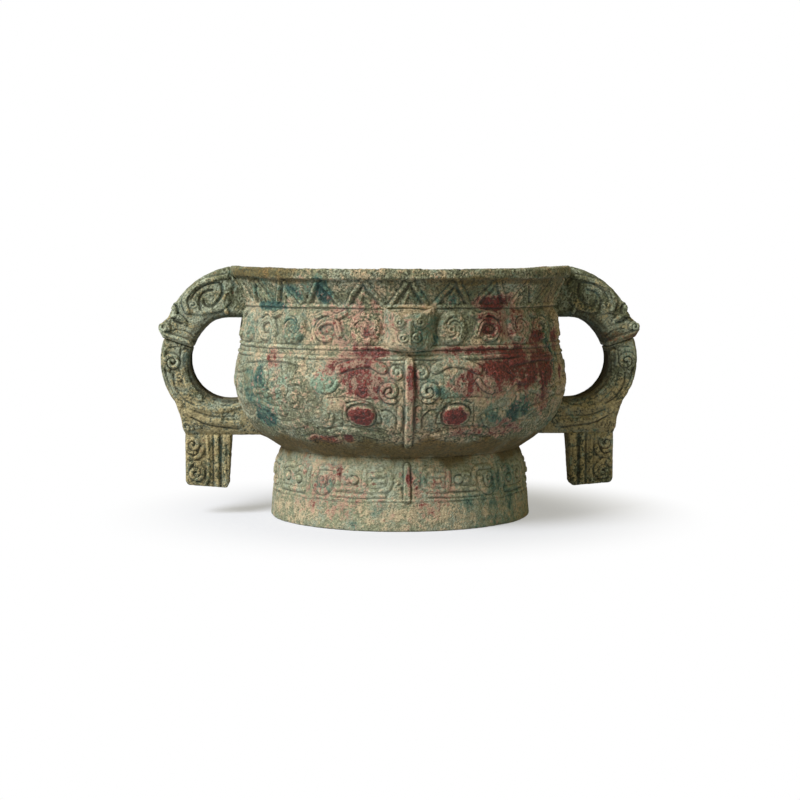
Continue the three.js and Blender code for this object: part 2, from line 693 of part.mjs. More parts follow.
// The small beast head on the neck band: a face with a square brow, two ears and two round eyes.
function crest() {
  const half = CREST_WIDTH / 2;
  const outline = [
    [CREST_CHIN_WIDTH / 2, CREST_BOTTOM],
    [CREST_CHEEK_WIDTH / 2, CREST_BOTTOM + CREST_CHEEK_RISE],
    [half, CREST_BOTTOM + CREST_TEMPLE_RISE],
    [half, CREST_TOP],
    [CREST_BROW_WIDTH / 2, CREST_TOP - CREST_BROW_DIP],
  ];
  const mirrored = outline.map(([x, y]) => [-x, y]).reverse();
  const face = shapeOf([
    [0, CREST_BOTTOM - CREST_CHIN],
    ...outline,
    [0, CREST_TOP - CREST_BROW_DIP + CREST_BROW_PEAK],
    ...mirrored,
  ]);
  const front = -(radiusAt(bowlPoints, (CREST_TOP + CREST_BOTTOM) / 2) + CREST_PROUD);
  const depth = CREST_PROUD + 4 * BITE;
  const eye = 2 * CREST_EYE_RADIUS;
  let body = solid(slab(face, depth, CREST_BEVEL).translate(0, front + depth / 2, 0));
  for (const side of [-1, 1]) {
    const earX = side * (half - CREST_EAR_WIDTH / 2);
    const earHeight = CREST_TOP - CREST_EAR_TALL / 2;
    const eyeX = (side * CREST_EYE_SPACING) / 2;
    body = body
      .add(bead(CREST_EAR_WIDTH, 2 * CREST_EAR_PROUD, CREST_EAR_TALL, earX, front, earHeight))
      .add(bead(eye, eye, eye, eyeX, front, CREST_BOTTOM + CREST_EYE_RISE));
  }
  const snoutHeight = CREST_BOTTOM + CREST_SNOUT_RISE;
  return body
    .add(bead(CREST_SNOUT_WIDTH, 2 * CREST_SNOUT_PROUD, CREST_SNOUT_TALL, 0, front, snoutHeight))
    .subtract(bowlEnvelope(GAP))
    .add(solid(crestPeg()));
}

// A point at an angle and a distance from the ring's centre, in X and height.
function roundLoop(angle, distance) {
  return [
    LOOP_CENTRE_X + distance * Math.cos(angle * DEGREE),
    LOOP_CENTRE_HEIGHT + distance * Math.sin(angle * DEGREE),
  ];
}

// A rectangle with rounded corners, from its lowest and highest corners.
function roundedRectangle(left, bottom, right, top, corner) {
  const shape = new THREE.Shape();
  shape.absarc(right - corner, bottom + corner, corner, -Math.PI / 2, 0, false);
  shape.absarc(right - corner, top - corner, corner, 0, Math.PI / 2, false);
  shape.absarc(left + corner, top - corner, corner, Math.PI / 2, Math.PI, false);
  shape.absarc(left + corner, bottom + corner, corner, Math.PI, 1.5 * Math.PI, false);
  return outlineOf(shape, CORNER_STEPS);
}

// The handle's full ring, before its upper half gives way to the beast's head.
function ring() {
  const half = LOOP_DEPTH / 2;
  const section = roundedRectangle(LOOP_INNER_RADIUS, -half, LOOP_OUTER_RADIUS, half, LOOP_CORNER);
  const points = section.getPoints().map((point) => [point.x, point.y]);
  return revolve([...points, points[0]])
    .rotateX(Math.PI / 2)
    .translate(LOOP_CENTRE_X, 0, LOOP_CENTRE_HEIGHT);
}

// What is cut from the ring above the beast's mouth.
function ringCut() {
  const far = 2 * LOOP_OUTER_RADIUS;
  const wedge = shapeOf([
    [LOOP_CENTRE_X, LOOP_CENTRE_HEIGHT],
    roundLoop(LOOP_TOP_ANGLE, far),
    [LOOP_CENTRE_X + far, LOOP_CENTRE_HEIGHT + far],
    [LOOP_CENTRE_X - far, LOOP_CENTRE_HEIGHT + far],
    [LOOP_CENTRE_X - far, LOOP_CENTRE_HEIGHT],
  ]);
  return solid(slab(wedge, 2 * LOOP_DEPTH, 0));
}

// The strut under the ring: it runs from the belly to the handle's outer edge and carries the pendant.
function strut() {
  const top = LOOP_CENTRE_HEIGHT - LOOP_INNER_RADIUS;
  const outer = PENDANT_OUTER_X + STRUT_MARGIN;
  const shape = shapeOf([
    [FOOT_TOP_RADIUS, STRUT_BOTTOM],
    [outer, STRUT_BOTTOM],
    [outer + STRUT_SWELL, STRUT_BOTTOM + STRUT_SWELL_RISE],
    roundLoop(STRUT_ANGLE, LOOP_OUTER_RADIUS),
    [LOOP_CENTRE_X + LOOP_INNER_RADIUS / 2, top - BITE],
    [LOOP_CENTRE_X, top],
    [FOOT_TOP_RADIUS, top - STRUT_FALL],
  ]);
  return slab(shape, LOOP_DEPTH, LOOP_CORNER / 2);
}

// A length of the ring between two angles and two radii, as wide as given: the clay core and its channel.
function ringSector(innerRadius, outerRadius, fromAngle, toAngle, width) {
  const shape = new THREE.Shape();
  shape.absarc(LOOP_CENTRE_X, LOOP_CENTRE_HEIGHT, outerRadius, toAngle * DEGREE, fromAngle * DEGREE, true);
  shape.absarc(LOOP_CENTRE_X, LOOP_CENTRE_HEIGHT, innerRadius, fromAngle * DEGREE, toAngle * DEGREE, false);
  return solid(slab(shape, width, 0));
}

// The tongue on top of the ring that the beast holds in its mouth, or with a clearance its socket.
function mouthTongue(clearance = 0) {
  const middle = (LOOP_INNER_RADIUS + LOOP_OUTER_RADIUS) / 2;
  const root = 2 * BITE;
  const length = TONGUE_LENGTH + clearance + root;
  const thickness = TONGUE_THICKNESS + 2 * clearance;
  return box(thickness, TONGUE_WIDTH + 2 * clearance, length, middle, 0, length / 2 - root)
    .rotateY(-LOOP_TOP_ANGLE * DEGREE)
    .translate(LOOP_CENTRE_X, 0, LOOP_CENTRE_HEIGHT);
}

// The peg on top of the pendant, or with a clearance its socket in the strut.
function pendantPeg(clearance = 0) {
  const middle = (PENDANT_INNER_X + PENDANT_OUTER_X) / 2;
  const root = 2 * BITE;
  const length = PEG_LENGTH + clearance + root;
  const height = STRUT_BOTTOM - GAP - root + length / 2;
  return box(PEG_WIDTH + 2 * clearance, PEG_DEPTH + 2 * clearance, length, middle, 0, height);
}

// A round stud on each side of the ring.
function loopStud(side) {
  const [x, height] = roundLoop(LOOP_STUD_ANGLE, (LOOP_INNER_RADIUS + LOOP_OUTER_RADIUS) / 2);
  const radius = LOOP_STUD_RADIUS;
  const stud = new THREE.CylinderGeometry(radius, radius, 2 * LOOP_STUD_PROUD, SMALL_STEPS);
  return solid(stud.translate(x, (side * LOOP_DEPTH) / 2, height));
}

function handleLoop() {
  const channel = ringSector(
    LOOP_INNER_RADIUS - BITE,
    LOOP_INNER_RADIUS + CORE_RECESS + CORE_DEPTH + GAP,
    CORE_BOTTOM_ANGLE - CORE_END_PLAY,
    CORE_TOP_ANGLE + CORE_END_PLAY,
    CORE_WIDTH + 2 * GAP,
  );
  return solid(ring())
    .subtract(ringCut())
    .add(solid(strut()))
    .add(loopStud(-1))
    .add(loopStud(1))
    .subtract(bowlEnvelope(GAP))
    .subtract(channel)
    .subtract(boss(LOWER_BOSS_HEIGHT, GAP))
    .subtract(solid(pendantPeg(GAP)))
    .add(solid(mouthTongue()));
}

function handleCore() {
  const inner = LOOP_INNER_RADIUS + CORE_RECESS;
  return ringSector(inner, inner + CORE_DEPTH, CORE_BOTTOM_ANGLE, CORE_TOP_ANGLE, CORE_WIDTH);
}

// The beast's profile in X and height: its crown falls in a spiral from the lip to the nose, the snout
// turns up, and the jaw comes back along the top of the ring and the finger hole.
function headShape() {
  const shape = new THREE.Shape();
  const [snoutX, snoutHeight] = roundLoop(SNOUT_ANGLE, SNOUT_DISTANCE);
  const crownHeight = LOOP_CENTRE_HEIGHT + HEAD_CROWN_RADIUS;
  const holeTop = LOOP_CENTRE_HEIGHT + LOOP_INNER_RADIUS;
  shape.moveTo(NECK_RADIUS - HEAD_ROOT, crownHeight);
  for (let i = 0; i <= HEAD_STEPS; i++) {
    const share = i / HEAD_STEPS;
    const angle = 90 + share * (HEAD_NOSE_ANGLE - 90);
    shape.lineTo(...roundLoop(angle, HEAD_CROWN_RADIUS + share * (HEAD_NOSE_RADIUS - HEAD_CROWN_RADIUS)));
  }
  shape.absarc(snoutX, snoutHeight, SNOUT_TIP_RADIUS, Math.PI / 2, -Math.PI / 4, true);
  for (const distance of [LOOP_OUTER_RADIUS, LOOP_INNER_RADIUS]) {
    const [x, height] = roundLoop(LOOP_TOP_ANGLE, distance);
    shape.lineTo(x, height + GAP);
  }
  for (let i = 1; i <= HEAD_STEPS; i++) {
    shape.lineTo(...roundLoop(LOOP_TOP_ANGLE + ((90 - LOOP_TOP_ANGLE) * i) / HEAD_STEPS, LOOP_INNER_RADIUS));
  }
  shape.lineTo(NECK_RADIUS - HEAD_ROOT, holeTop);
  return shape;
}

// A pointed ear, laid back along the side of the head.
function earShape() {
  const shape = new THREE.Shape();
  const half = EAR_WIDTH / 2;
  shape.moveTo(-EAR_LENGTH / 2, 0);
  shape.quadraticCurveTo(-EAR_LENGTH / 6, half, EAR_LENGTH / 4, half);
  shape.absarc(EAR_LENGTH / 4, 0, half, Math.PI / 2, -Math.PI / 2, true);
  shape.quadraticCurveTo(-EAR_LENGTH / 6, -half, -EAR_LENGTH / 2, 0);
  return shape;
}

function handleHead() {
  const [earX, earHeight] = roundLoop(EAR_ANGLE, EAR_DISTANCE);
  const [eyeX, eyeHeight] = roundLoop(HEAD_EYE_ANGLE, HEAD_EYE_DISTANCE);
  const eye = 2 * HEAD_EYE_RADIUS;
  const cheek = (HEAD_DEPTH - HEAD_BEVEL) / 2;
  const ear = slab(earShape(), HEAD_DEPTH + 2 * EAR_PROUD, EAR_BEVEL)
    .rotateY((180 + EAR_TILT) * DEGREE)
    .translate(earX, 0, earHeight);
  return solid(slab(headShape(), HEAD_DEPTH, HEAD_BEVEL))
    .add(solid(ear))
    .add(bead(eye, eye, eye, eyeX, cheek, eyeHeight))
    .add(bead(eye, eye, eye, eyeX, -cheek, eyeHeight))
    .subtract(bowlEnvelope(GAP))
    .subtract(boss(UPPER_BOSS_HEIGHT, GAP))
    .subtract(solid(mouthTongue(GAP)));
}

// The pendant's outline: a plate with rounded lower corners.
function pendantShape() {
  const top = STRUT_BOTTOM - GAP;
  const corner = PENDANT_CORNER;
  const shape = new THREE.Shape();
  shape.moveTo(PENDANT_INNER_X, top);
  shape.lineTo(PENDANT_INNER_X, PENDANT_BOTTOM + corner);
  shape.absarc(PENDANT_INNER_X + corner, PENDANT_BOTTOM + corner, corner, Math.PI, 1.5 * Math.PI, false);
  shape.absarc(PENDANT_OUTER_X - corner, PENDANT_BOTTOM + corner, corner, -Math.PI / 2, 0, false);
  shape.lineTo(PENDANT_OUTER_X, top);
  return shape;
}

// The tail scroll on the pendant's outer half: it hooks inwards twice on its way down.
function tailShape() {
  const outer = PENDANT_OUTER_X - TAIL_MARGIN;
  const inner = outer - TAIL_WIDTH;
  const top = STRUT_BOTTOM - GAP - TAIL_MARGIN;
  const bottom = PENDANT_BOTTOM + TAIL_MARGIN;
  const step = (top - bottom) / 5;
  const curve = splineOf([
    [outer, top],
    [inner, top - step],
    [inner, top - 2 * step],
    [outer, top - 3 * step],
    [outer, top - 4 * step],
    [inner, bottom],
  ]);
  return ribbon(curve, TAIL_BODY, RIBBON_STEPS);
}

function pendant() {
  const tall = STRUT_BOTTOM - GAP - PENDANT_BOTTOM;
  let body = solid(slab(pendantShape(), PENDANT_DEPTH, PENDANT_BEVEL));
  for (const face of [-PENDANT_DEPTH / 2, PENDANT_DEPTH / 2]) {
    for (let i = 1; i <= GROOVE_COUNT; i++) {
      const x = PENDANT_INNER_X + i * GROOVE_SPACING;
      const length = tall - 2 * GROOVE_MARGIN;
      const groove = box(GROOVE_WIDTH, 2 * GROOVE_DEPTH, length, x, face, PENDANT_BOTTOM + tall / 2);
      body = body.subtract(solid(groove));
    }
    body = body.add(solid(slab(tailShape(), 2 * TAIL_PROUD, 0).translate(0, face, 0)));
  }
  return body.add(solid(pendantPeg()));
}

const gui = new THREE.Group();

function place(name, body, material, parent = gui) {
  const mesh = new THREE.Mesh(geometryOf(body), material);
  mesh.name = name;
  parent.add(mesh);
}

place("bowl", bowl(), bronze);
place("ring_foot", ringFoot(), paleBronze);
chapletPlaces().forEach((spot, index) => place(`floor_chaplet_${index + 1}`, chaplet(spot), chapletBronze));

const crestBody = crest();
for (const [side, turn] of [
  ["front", 0],
  ["rear", Math.PI],
]) {
  const group = new THREE.Group();
  group.rotation.z = turn;
  place(`${side}_beast_head`, crestBody, bronze, group);
  gui.add(group);
}

const headBody = handleHead();
const loopBody = handleLoop();
const coreBody = handleCore();
const pendantBody = pendant();
for (const [side, turn] of [
  ["right", 0],
  ["left", Math.PI],
]) {
  const group = new THREE.Group();
  group.rotation.z = turn;
  place(`${side}_handle_head`, headBody, darkBronze, group);
  place(`${side}_handle_loop`, loopBody, darkBronze, group);
  place(`${side}_handle_core`, coreBody, clay, group);
  place(`${side}_pendant`, pendantBody, darkBronze, group);
  gui.add(group);
}

export default gui;
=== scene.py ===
# %% [markdown]
# # A buried bronze food vessel, sculpted and patinated
#
# A gui is a bowl for cooked grain. This one was cast in bronze about three thousand years ago and lay in
# the ground, so it wears its ornament soft and its skin in patches: pale malachite, buff earth, dark
# cuprite red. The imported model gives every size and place. This lesson lays a finely sculpted skin over
# it, piece by piece, and then paints and lights it.
#
# Lengths in the sculpting steps are millimetres, because that is how a foundry measures. They become
# metres once, when a mesh is written.

import math

import bmesh
import bpy
import numpy as np
from mathutils import Matrix, Vector


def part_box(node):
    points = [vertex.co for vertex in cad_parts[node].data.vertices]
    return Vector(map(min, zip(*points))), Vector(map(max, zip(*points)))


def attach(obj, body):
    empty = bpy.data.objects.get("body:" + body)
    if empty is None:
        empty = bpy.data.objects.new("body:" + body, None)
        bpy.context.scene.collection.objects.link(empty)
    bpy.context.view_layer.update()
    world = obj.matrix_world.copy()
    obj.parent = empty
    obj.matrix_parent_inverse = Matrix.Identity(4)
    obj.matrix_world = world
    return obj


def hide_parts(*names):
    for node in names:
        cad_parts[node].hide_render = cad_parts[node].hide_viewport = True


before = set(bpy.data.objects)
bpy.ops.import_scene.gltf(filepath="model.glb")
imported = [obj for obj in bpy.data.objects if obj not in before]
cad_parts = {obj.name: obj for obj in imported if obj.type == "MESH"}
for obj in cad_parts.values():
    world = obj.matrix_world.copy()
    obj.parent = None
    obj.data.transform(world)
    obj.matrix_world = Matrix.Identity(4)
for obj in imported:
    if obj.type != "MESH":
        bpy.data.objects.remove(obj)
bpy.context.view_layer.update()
MM = 0.001
BODY = "root"


def cad_size(node):
    """A node's lowest and highest corner in millimetres."""
    low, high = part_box(node)
    return low / MM, high / MM


bowl_low, bowl_high = cad_size("bowl")
foot_low, foot_high = cad_size("ring_foot")
LIP_RADIUS = bowl_high.x
LIP_TOP = bowl_high.z
FOOT_RADIUS = foot_high.x
FOOT_TOP = foot_high.z
print("nodes", len(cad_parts), "mouth", round(2 * LIP_RADIUS, 1), "height", round(LIP_TOP, 1))

# %% [markdown]
# ## Camera first
#
# The photograph was taken from the height of the lip and about a metre away, so the mouth is seen as a
# line and the ring foot as a shallow ellipse. The vessel was turned about three degrees. A camera with
# the same distance, height and angle of view comes first, before any modelling.

# %% Place the camera
CAMERA_DISTANCE = 1030
CAMERA_HEIGHT = 152.5
CAMERA_TURN = math.radians(3)
CAMERA_PITCH = math.radians(4.51)
CAMERA_LENS = 73.6

camera_data = bpy.data.cameras.new("camera")
camera_data.lens = CAMERA_LENS
camera_data.sensor_width = 36
camera_data.clip_start = 0.05
camera = bpy.data.objects.new("camera", camera_data)
bpy.context.scene.collection.objects.link(camera)
camera.location = Vector(
    (
        -CAMERA_DISTANCE * math.sin(CAMERA_TURN),
        -CAMERA_DISTANCE * math.cos(CAMERA_TURN),
        CAMERA_HEIGHT,
    )
) * MM
camera.rotation_euler = (math.pi / 2 - CAMERA_PITCH, 0, -CAMERA_TURN)
bpy.context.scene.camera = camera
print("camera at", [round(value, 3) for value in camera.location])

# %% [markdown]
# ## Noise that never changes
#
# Corroded metal is uneven at every scale: the hand-made mould, the crust, the grains. Value noise gives
# that: random numbers on a lattice, smoothly blended. The random numbers come from one seeded generator,
# so the vessel is the same each time. Adding octaves, each finer and weaker, gives the look of crust.

# %% Value noise
LATTICE = np.random.default_rng(7).random((32, 32, 32))


def value_noise(points, size):
    """Smooth noise from -1 to 1 whose lumps are about `size` millimetres wide."""
    grid = points / size
    cell = np.floor(grid).astype(int)
    blend = grid - cell
    blend = blend * blend * (3 - 2 * blend)
    places = (cell % 32, (cell + 1) % 32)
    shares = (1 - blend, blend)
    total = np.zeros(len(points))
    for x, y, z in np.ndindex(2, 2, 2):
        weight = shares[x][:, 0] * shares[y][:, 1] * shares[z][:, 2]
        total += weight * LATTICE[places[x][:, 0], places[y][:, 1], places[z][:, 2]]
    return 2 * total - 1


def crust_noise(points, size, octaves=4):
    """Value noise summed over octaves, each half as wide and half as strong."""
    total = np.zeros(len(points))
    for octave in range(octaves):
        total += value_noise(points + 37.1 * octave, size / 2**octave) / 2**octave
    return total / 1.6


def smooth_step(low, high, values):
    share = np.clip((values - low) / (high - low), 0, 1)
    return share * share * (3 - 2 * share)


print("noise spread", round(float(crust_noise(np.random.default_rng(1).random((999, 3)) * 99, 9).std()), 2))

# %% [markdown]
# ## Relief as a height field
#
# The founder carved ornament into the clay mould, so the bronze carries it as relief: bands that stand
# up about a millimetre and grooves cut into them. Modelling each curl as its own mesh would take a great
# many joins. A height field is simpler: every point of a fine skin asks how far it is from each stroke,
# and moves in or out. Strokes are drawn in millimetres on the unrolled wall, as they were on the mould.

# %% The relief board


def curve(points, steps=10):
    """A smooth line through a few points."""
    knots = np.array([points[0], *points, points[-1]], float)
    line = [knots[1]]
    for i in range(1, len(knots) - 2):
        before, start, end, after = knots[i - 1 : i + 3]
        for step in range(1, steps + 1):
            t = step / steps
            line.append(
                0.5
                * (
                    2 * start
                    + (end - before) * t
                    + (2 * before - 5 * start + 4 * end - after) * t**2
                    + (3 * start - before - 3 * end + after) * t**3
                )
            )
    return np.array(line)


def spiral(centre, radius, turns, start, hand=1, core=0.12):
    """A scroll that starts `radius` out at the angle `start` and winds inwards."""
    share = np.linspace(0, 1, max(int(abs(turns) * 18), 6))
    reach = radius * (1 - (1 - core) * share)
    angle = math.radians(start) + hand * 2 * math.pi * turns * share
    return np.column_stack((centre[0] + reach * np.cos(angle), centre[1] + reach * np.sin(angle)))


def ring(centre, half_width, half_height=None, tilt=0, steps=40):
    """A closed oval."""
    half_height = half_height or half_width
    angle = np.linspace(0, 2 * math.pi, steps)
    across, up = half_width * np.cos(angle), half_height * np.sin(angle)
    turn = math.radians(tilt)
    return np.column_stack(
        (
            centre[0] + across * math.cos(turn) - up * math.sin(turn),
            centre[1] + across * math.sin(turn) + up * math.cos(turn),
        )
    )


class Relief:
    """Heights over a set of flat points. Raised work and cut lines are kept apart until the end."""

    def __init__(self, across, up):
        self.flat = np.column_stack((across, up))
        self.raised = np.zeros(len(across))
        self.cut = np.zeros(len(across))

    def near(self, line, reach):
        """The points within reach of a line, and how far each is from it."""
        low, high = line.min(0) - reach, line.max(0) + reach
        inside = np.flatnonzero(np.all((self.flat > low) & (self.flat < high), axis=1))
        best = np.full(len(inside), 1e9)
        points = self.flat[inside]
        for start, end in zip(line[:-1], line[1:]):
            along = end - start
            length = along @ along
            if length < 1e-9:
                continue
            share = np.clip((points - start) @ along / length, 0, 1)
            best = np.minimum(best, np.linalg.norm(points - start - share[:, None] * along, axis=1))
        return inside, best

    def band(self, line, width, proud, soft=0.7, edge=0):
        """A raised band with a flat top and softened sides. `edge` is how deep a line runs round it."""
        inside, away = self.near(line, width / 2 + 2)
        rise = proud * (1 - smooth_step(width / 2 - soft, width / 2 + soft, away))
        self.raised[inside] = np.maximum(self.raised[inside], rise)
        fall = edge * np.exp(-(((away - width / 2 - 0.7) / 0.5) ** 2))
        self.cut[inside] = np.maximum(self.cut[inside], fall)

    def cord(self, line, width, proud):
        """A raised line with a round top."""
        inside, away = self.near(line, width / 2)
        rise = proud * np.sqrt(np.clip(1 - (2 * away / width) ** 2, 0, 1))
        self.raised[inside] = np.maximum(self.raised[inside], rise)

    def groove(self, line, width, depth):
        """A cut line."""
        inside, away = self.near(line, width)
        fall = depth * (1 - smooth_step(width * 0.2, width * 0.9, away))
        self.cut[inside] = np.maximum(self.cut[inside], fall)

    def boss(self, centre, half_width, half_height, proud, tilt=0, crown=0.5):
        """A raised oval: a crown of 1 is a dome and a crown of 0 is a flat disc."""
        turn = math.radians(tilt)
        offset = self.flat - centre
        across = (offset[:, 0] * math.cos(turn) + offset[:, 1] * math.sin(turn)) / half_width
        up = (offset[:, 1] * math.cos(turn) - offset[:, 0] * math.sin(turn)) / half_height
        away = np.sqrt(across**2 + up**2)
        edge = 1 - smooth_step(0.82, 1.04, away)
        rise = proud * edge * (1 - crown * np.clip(away, 0, 1) ** 2)
        self.raised = np.maximum(self.raised, rise)

    def plate(self, low, high, proud, soft):
        """A raised rectangle that fades out over `soft` outside its edges."""
        outside = np.maximum(np.maximum(low - self.flat, self.flat - high), 0)
        away = np.linalg.norm(outside, axis=1)
        self.raised = np.maximum(self.raised, proud * (1 - smooth_step(0, soft, away)))

    def shape(self, outline, proud, soft=0.7):
        """A raised area inside a closed outline."""
        near, away = self.near(outline, soft)
        across, up = self.flat[near].T
        within = np.zeros(len(near), bool)
        for (x1, z1), (x2, z2) in zip(outline[:-1], outline[1:]):
            if z1 != z2:
                crosses = (z1 > up) != (z2 > up)
                within ^= crosses & (across < (x2 - x1) * (up - z1) / (z2 - z1) + x1)
        signed = np.where(within, -away, away)
        rise = proud * (1 - smooth_step(-soft, soft, signed))
        self.raised[near] = np.maximum(self.raised[near], rise)

    def total(self):
        return self.raised - self.cut


def wavering(points, across, up, amount=0.55):
    """A board whose lines waver a little, as lines cut by hand in clay do."""
    across = across + amount * crust_noise(points + 5, 8, 3)
    up = up + amount * crust_noise(points + 63, 8, 3)
    return Relief(across, up)


print("strokes: band, cord, groove, boss, plate and shape")

# %% [markdown]
# ## The wall's profile
#
# Seen from the side the bowl swells from the foot, draws in under the neck and flares to the lip. The
# foot slopes outwards to a raised line and then falls to a plain rim. These are the same driving points
# as the solid model's, so the skin lies where the solid does. A smooth curve through them is finer than
# the facets below it.

# %% Profiles of the wall and the foot
WALL_POINTS = [
    (74.8, FOOT_TOP),
    (91, FOOT_TOP + 12),
    (100.3, FOOT_TOP + 27),
    (103.8, FOOT_TOP + 44),
    (99.8, FOOT_TOP + 66),
    (96.8, FOOT_TOP + 88),
    (99.7, FOOT_TOP + 97),
    (102.6, FOOT_TOP + 102.4),
]
FOOT_POINTS = [(79.7, 17.5), (78.9, 30.2), (77, 38), (74.8, FOOT_TOP)]
NECK_HEIGHT = FOOT_TOP + 88
LIP_LIFT = 2.2
SKIN = 1.6
FINE = 0.5


def spaced(points, gap):
    """A line's points spread evenly, about `gap` apart."""
    line = np.array(points, float)
    reach = np.concatenate(([0], np.cumsum(np.linalg.norm(np.diff(line, axis=0), axis=1))))
    steps = max(round(reach[-1] / gap), 1)
    places = np.linspace(0, reach[-1], steps + 1)
    return np.column_stack([np.interp(places, reach, line[:, axis]) for axis in (0, 1)])


wall_curve = curve(WALL_POINTS)
foot_curve = curve(FOOT_POINTS)


def wall_radius(height):
    return np.interp(height, wall_curve[:, 1], wall_curve[:, 0])


def unroll(points, radius):
    """Distance from the nearest ridge, in millimetres, at each point."""
    angle = np.degrees(np.arctan2(points[:, 0], -points[:, 1]))
    return np.radians(np.abs((angle + 90) % 180 - 90)) * radius


print("wall line", round(len(spaced(wall_curve, FINE)) * FINE), "mm long")

# %% [markdown]
# ## From a mesh to a weathered piece
#
# Every new piece ends the same way. Its fine mesh is read as arrays of points and normals, its relief
# and crust move the points, and painted values are stored on the points for the material to read: how
# deep a hollow is, together with painted shade in inner corners and round the loops' holes, and where
# red, green, mint, soil with painted shade, buff earth with painted light, and rough crust lie thickest.
# Storing them on the points ties the paint to the metal, so it stays put from every side.

# %% Read, move and write points


def mesh_points(mesh):
    points = np.empty(len(mesh.vertices) * 3)
    mesh.vertices.foreach_get("co", points)
    return points.reshape(-1, 3)


def mesh_normals(mesh):
    normals = np.empty(len(mesh.vertices) * 3)
    mesh.vertex_normals.foreach_get("vector", normals)
    return normals.reshape(-1, 3)


def crust(points):
    """How far corrosion lifts the skin: swellings, lumps, grit and pits, in millimetres."""
    swelling = 0.22 * crust_noise(points, 14, 3)
    lumps = 0.18 * np.abs(crust_noise(points + 91, 4.5, 3))
    grit = 0.15 * crust_noise(points + 53, 1.9, 2)
    pits = 0.3 * smooth_step(0.3, 0.7, crust_noise(points + 71, 2.8, 2))
    return swelling + lumps + grit - pits


def wear(points):
    """What share of the relief is left: some places are worn or crusted over."""
    return 0.86 + 0.26 * crust_noise(points + 17, 24, 3)


def blurred(mesh, values, rounds=14):
    """Values averaged again and again with those of the neighbouring points."""
    ends = np.empty(len(mesh.edges) * 2, np.int32)
    mesh.edges.foreach_get("vertices", ends)
    first, second = ends.reshape(-1, 2).T
    size = len(values)
    count = np.bincount(ends, minlength=size)
    for _ in range(rounds):
        total = np.bincount(first, values[second], size) + np.bincount(second, values[first], size)
        values = 0.5 * values + 0.5 * total / count
    return values


def bend(mesh, points, normals):
    """How far the surface round each point stands above it: more than 0 in an inner corner."""
    around = np.column_stack([blurred(mesh, points[:, axis]) for axis in range(3)])
    return np.sum((around - points) * normals, axis=1)


print("skin moves about", round(float(crust(np.random.default_rng(2).random((999, 3)) * 99).std()), 2), "mm")

# %% [markdown]
# ## Where the patches of corrosion lie
#
# The photograph shows large patches: maroon cuprite at the right of the front, a pink bloom left of the
# ridge, and blue-green spots among the blades and low on the belly. Each patch is an oval on the unrolled
# wall, given by its angle from the front ridge, its height and its half sizes. Noise frays its edge. The
# rear, which the photograph doesn't show, has the same patches turned halfway round.

# %% Patches on the wall
RED_PATCHES = [
    (36, 97, 32, 15, 0.95),
    (24, 92, 18, 12, 0.7),
    (52, 98, 14, 24, 0.6),
    (66, 112, 5, 9, 0.8),
    (67, 92, 3, 5, 0.9),
    (36, 122, 22, 12, 0.6),
    (27, 107, 27, 3.2, 0.9),
    (39, 103, 13, 5.5, 1.1),
    (32, 95, 12, 6, 1.25),
    (46, 94, 8, 11, 1.4),
    (19, 92.8, 6, 4.4, 1.0),
    (30, 134, 12, 4.5, 0.95),
    (28, 121, 9, 9, 0.8),
    (53, 94, 8, 14, 1.0),
    (52, 114, 8, 3.6, 1.0),
    (30, 84, 12, 6, 0.6),
    (-10, 106, 14, 3.4, 1.0),
    (-17, 95, 24, 15, 0.68),
    (-18, 90, 10, 8, 0.8),
    (-15, 83.7, 5, 3, 1.1),
    (-51, 100, 9, 7, 0.55),
    (-33, 54.2, 12, 2.6, 1.0),
    (-22, 55.6, 3, 2, 1.1),
    (-20, 120, 30, 16, 0.42),
    (-46, 82, 26, 18, 0.2),
    (30, 60, 26, 5, 0.5),
    (-36, 24, 40, 14, 0.36),
    (8, 20, 20, 12, 0.4),
    (15.6, 70.6, 7.4, 4.6, 1.35),
    (-15.6, 70.6, 7.4, 4.6, 1.35),
    (1, 90, 4.4, 11, 0.85),
    (1, 68, 4.4, 12, 0.35),
    (-30, 34, 3, 6, 0.75),
    (-36, 37, 11, 1.6, 0.6),
    (1, 26.6, 3, 11, 0.6),
    (80, 112, 14, 3.6, 0.62),
]
GREEN_PATCHES = [
    (59, 103, 6, 9, 1.5),
    (39, 124, 5, 4, 1.3),
    (28, 102, 6, 3, 1.3),
    (28, 69, 9, 6.5, 1.0),
    (41, 71, 13, 7, 1.1),
    (-57, 90, 8, 8, 1.1),
    (-54, 132, 18, 3, 1.2),
    (-29, 141, 5, 6, 1.5),
    (-42, 141, 7, 6, 1.0),
    (-57, 66, 13, 6, 1.1),
    (-50, 142, 30, 7, 0.45),
    (-58, 151, 34, 3, 1.1),
    (66, 102, 3, 5, 1.3),
    (4, 118, 8, 12, 0.5),
    (20, 140, 30, 8, 0.55),
    (-58, 78, 17, 22, 0.65),
    (38, 10, 34, 12, 0.55),
    (14, 88, 14, 10, 0.6),
    (-38, 26, 11, 5.5, 0.8),
    (2, 31, 12, 7, 0.7),
    (50, 29, 22, 15, 0.55),
    (-42, 119.8, 8, 9, 0.55),
    (-66, 119.8, 8, 9, 0.5),
    (8, 124, 5, 5, 0.9),
    (9, 114, 4, 4, 1.0),
    (62, 118, 5, 9, 0.9),
    (28, 84, 12, 6, 0.8),
    (66, 66, 14, 8, 0.6),
]
MINT_PATCHES = [
    (-29.3, 89.3, 5.4, 5.8, 1.2),
    (-25.6, 88.6, 5.2, 5.8, 1.2),
    (-22, 70, 18, 9, 0.55),
    (-62, 112, 10, 12, 0.5),
    (-48, 104, 16, 8, 0.45),
    (-50, 84, 24, 18, 0.62),
    (12, 66, 14, 8, 0.4),
    (-70, 90, 20, 30, 0.4),
]
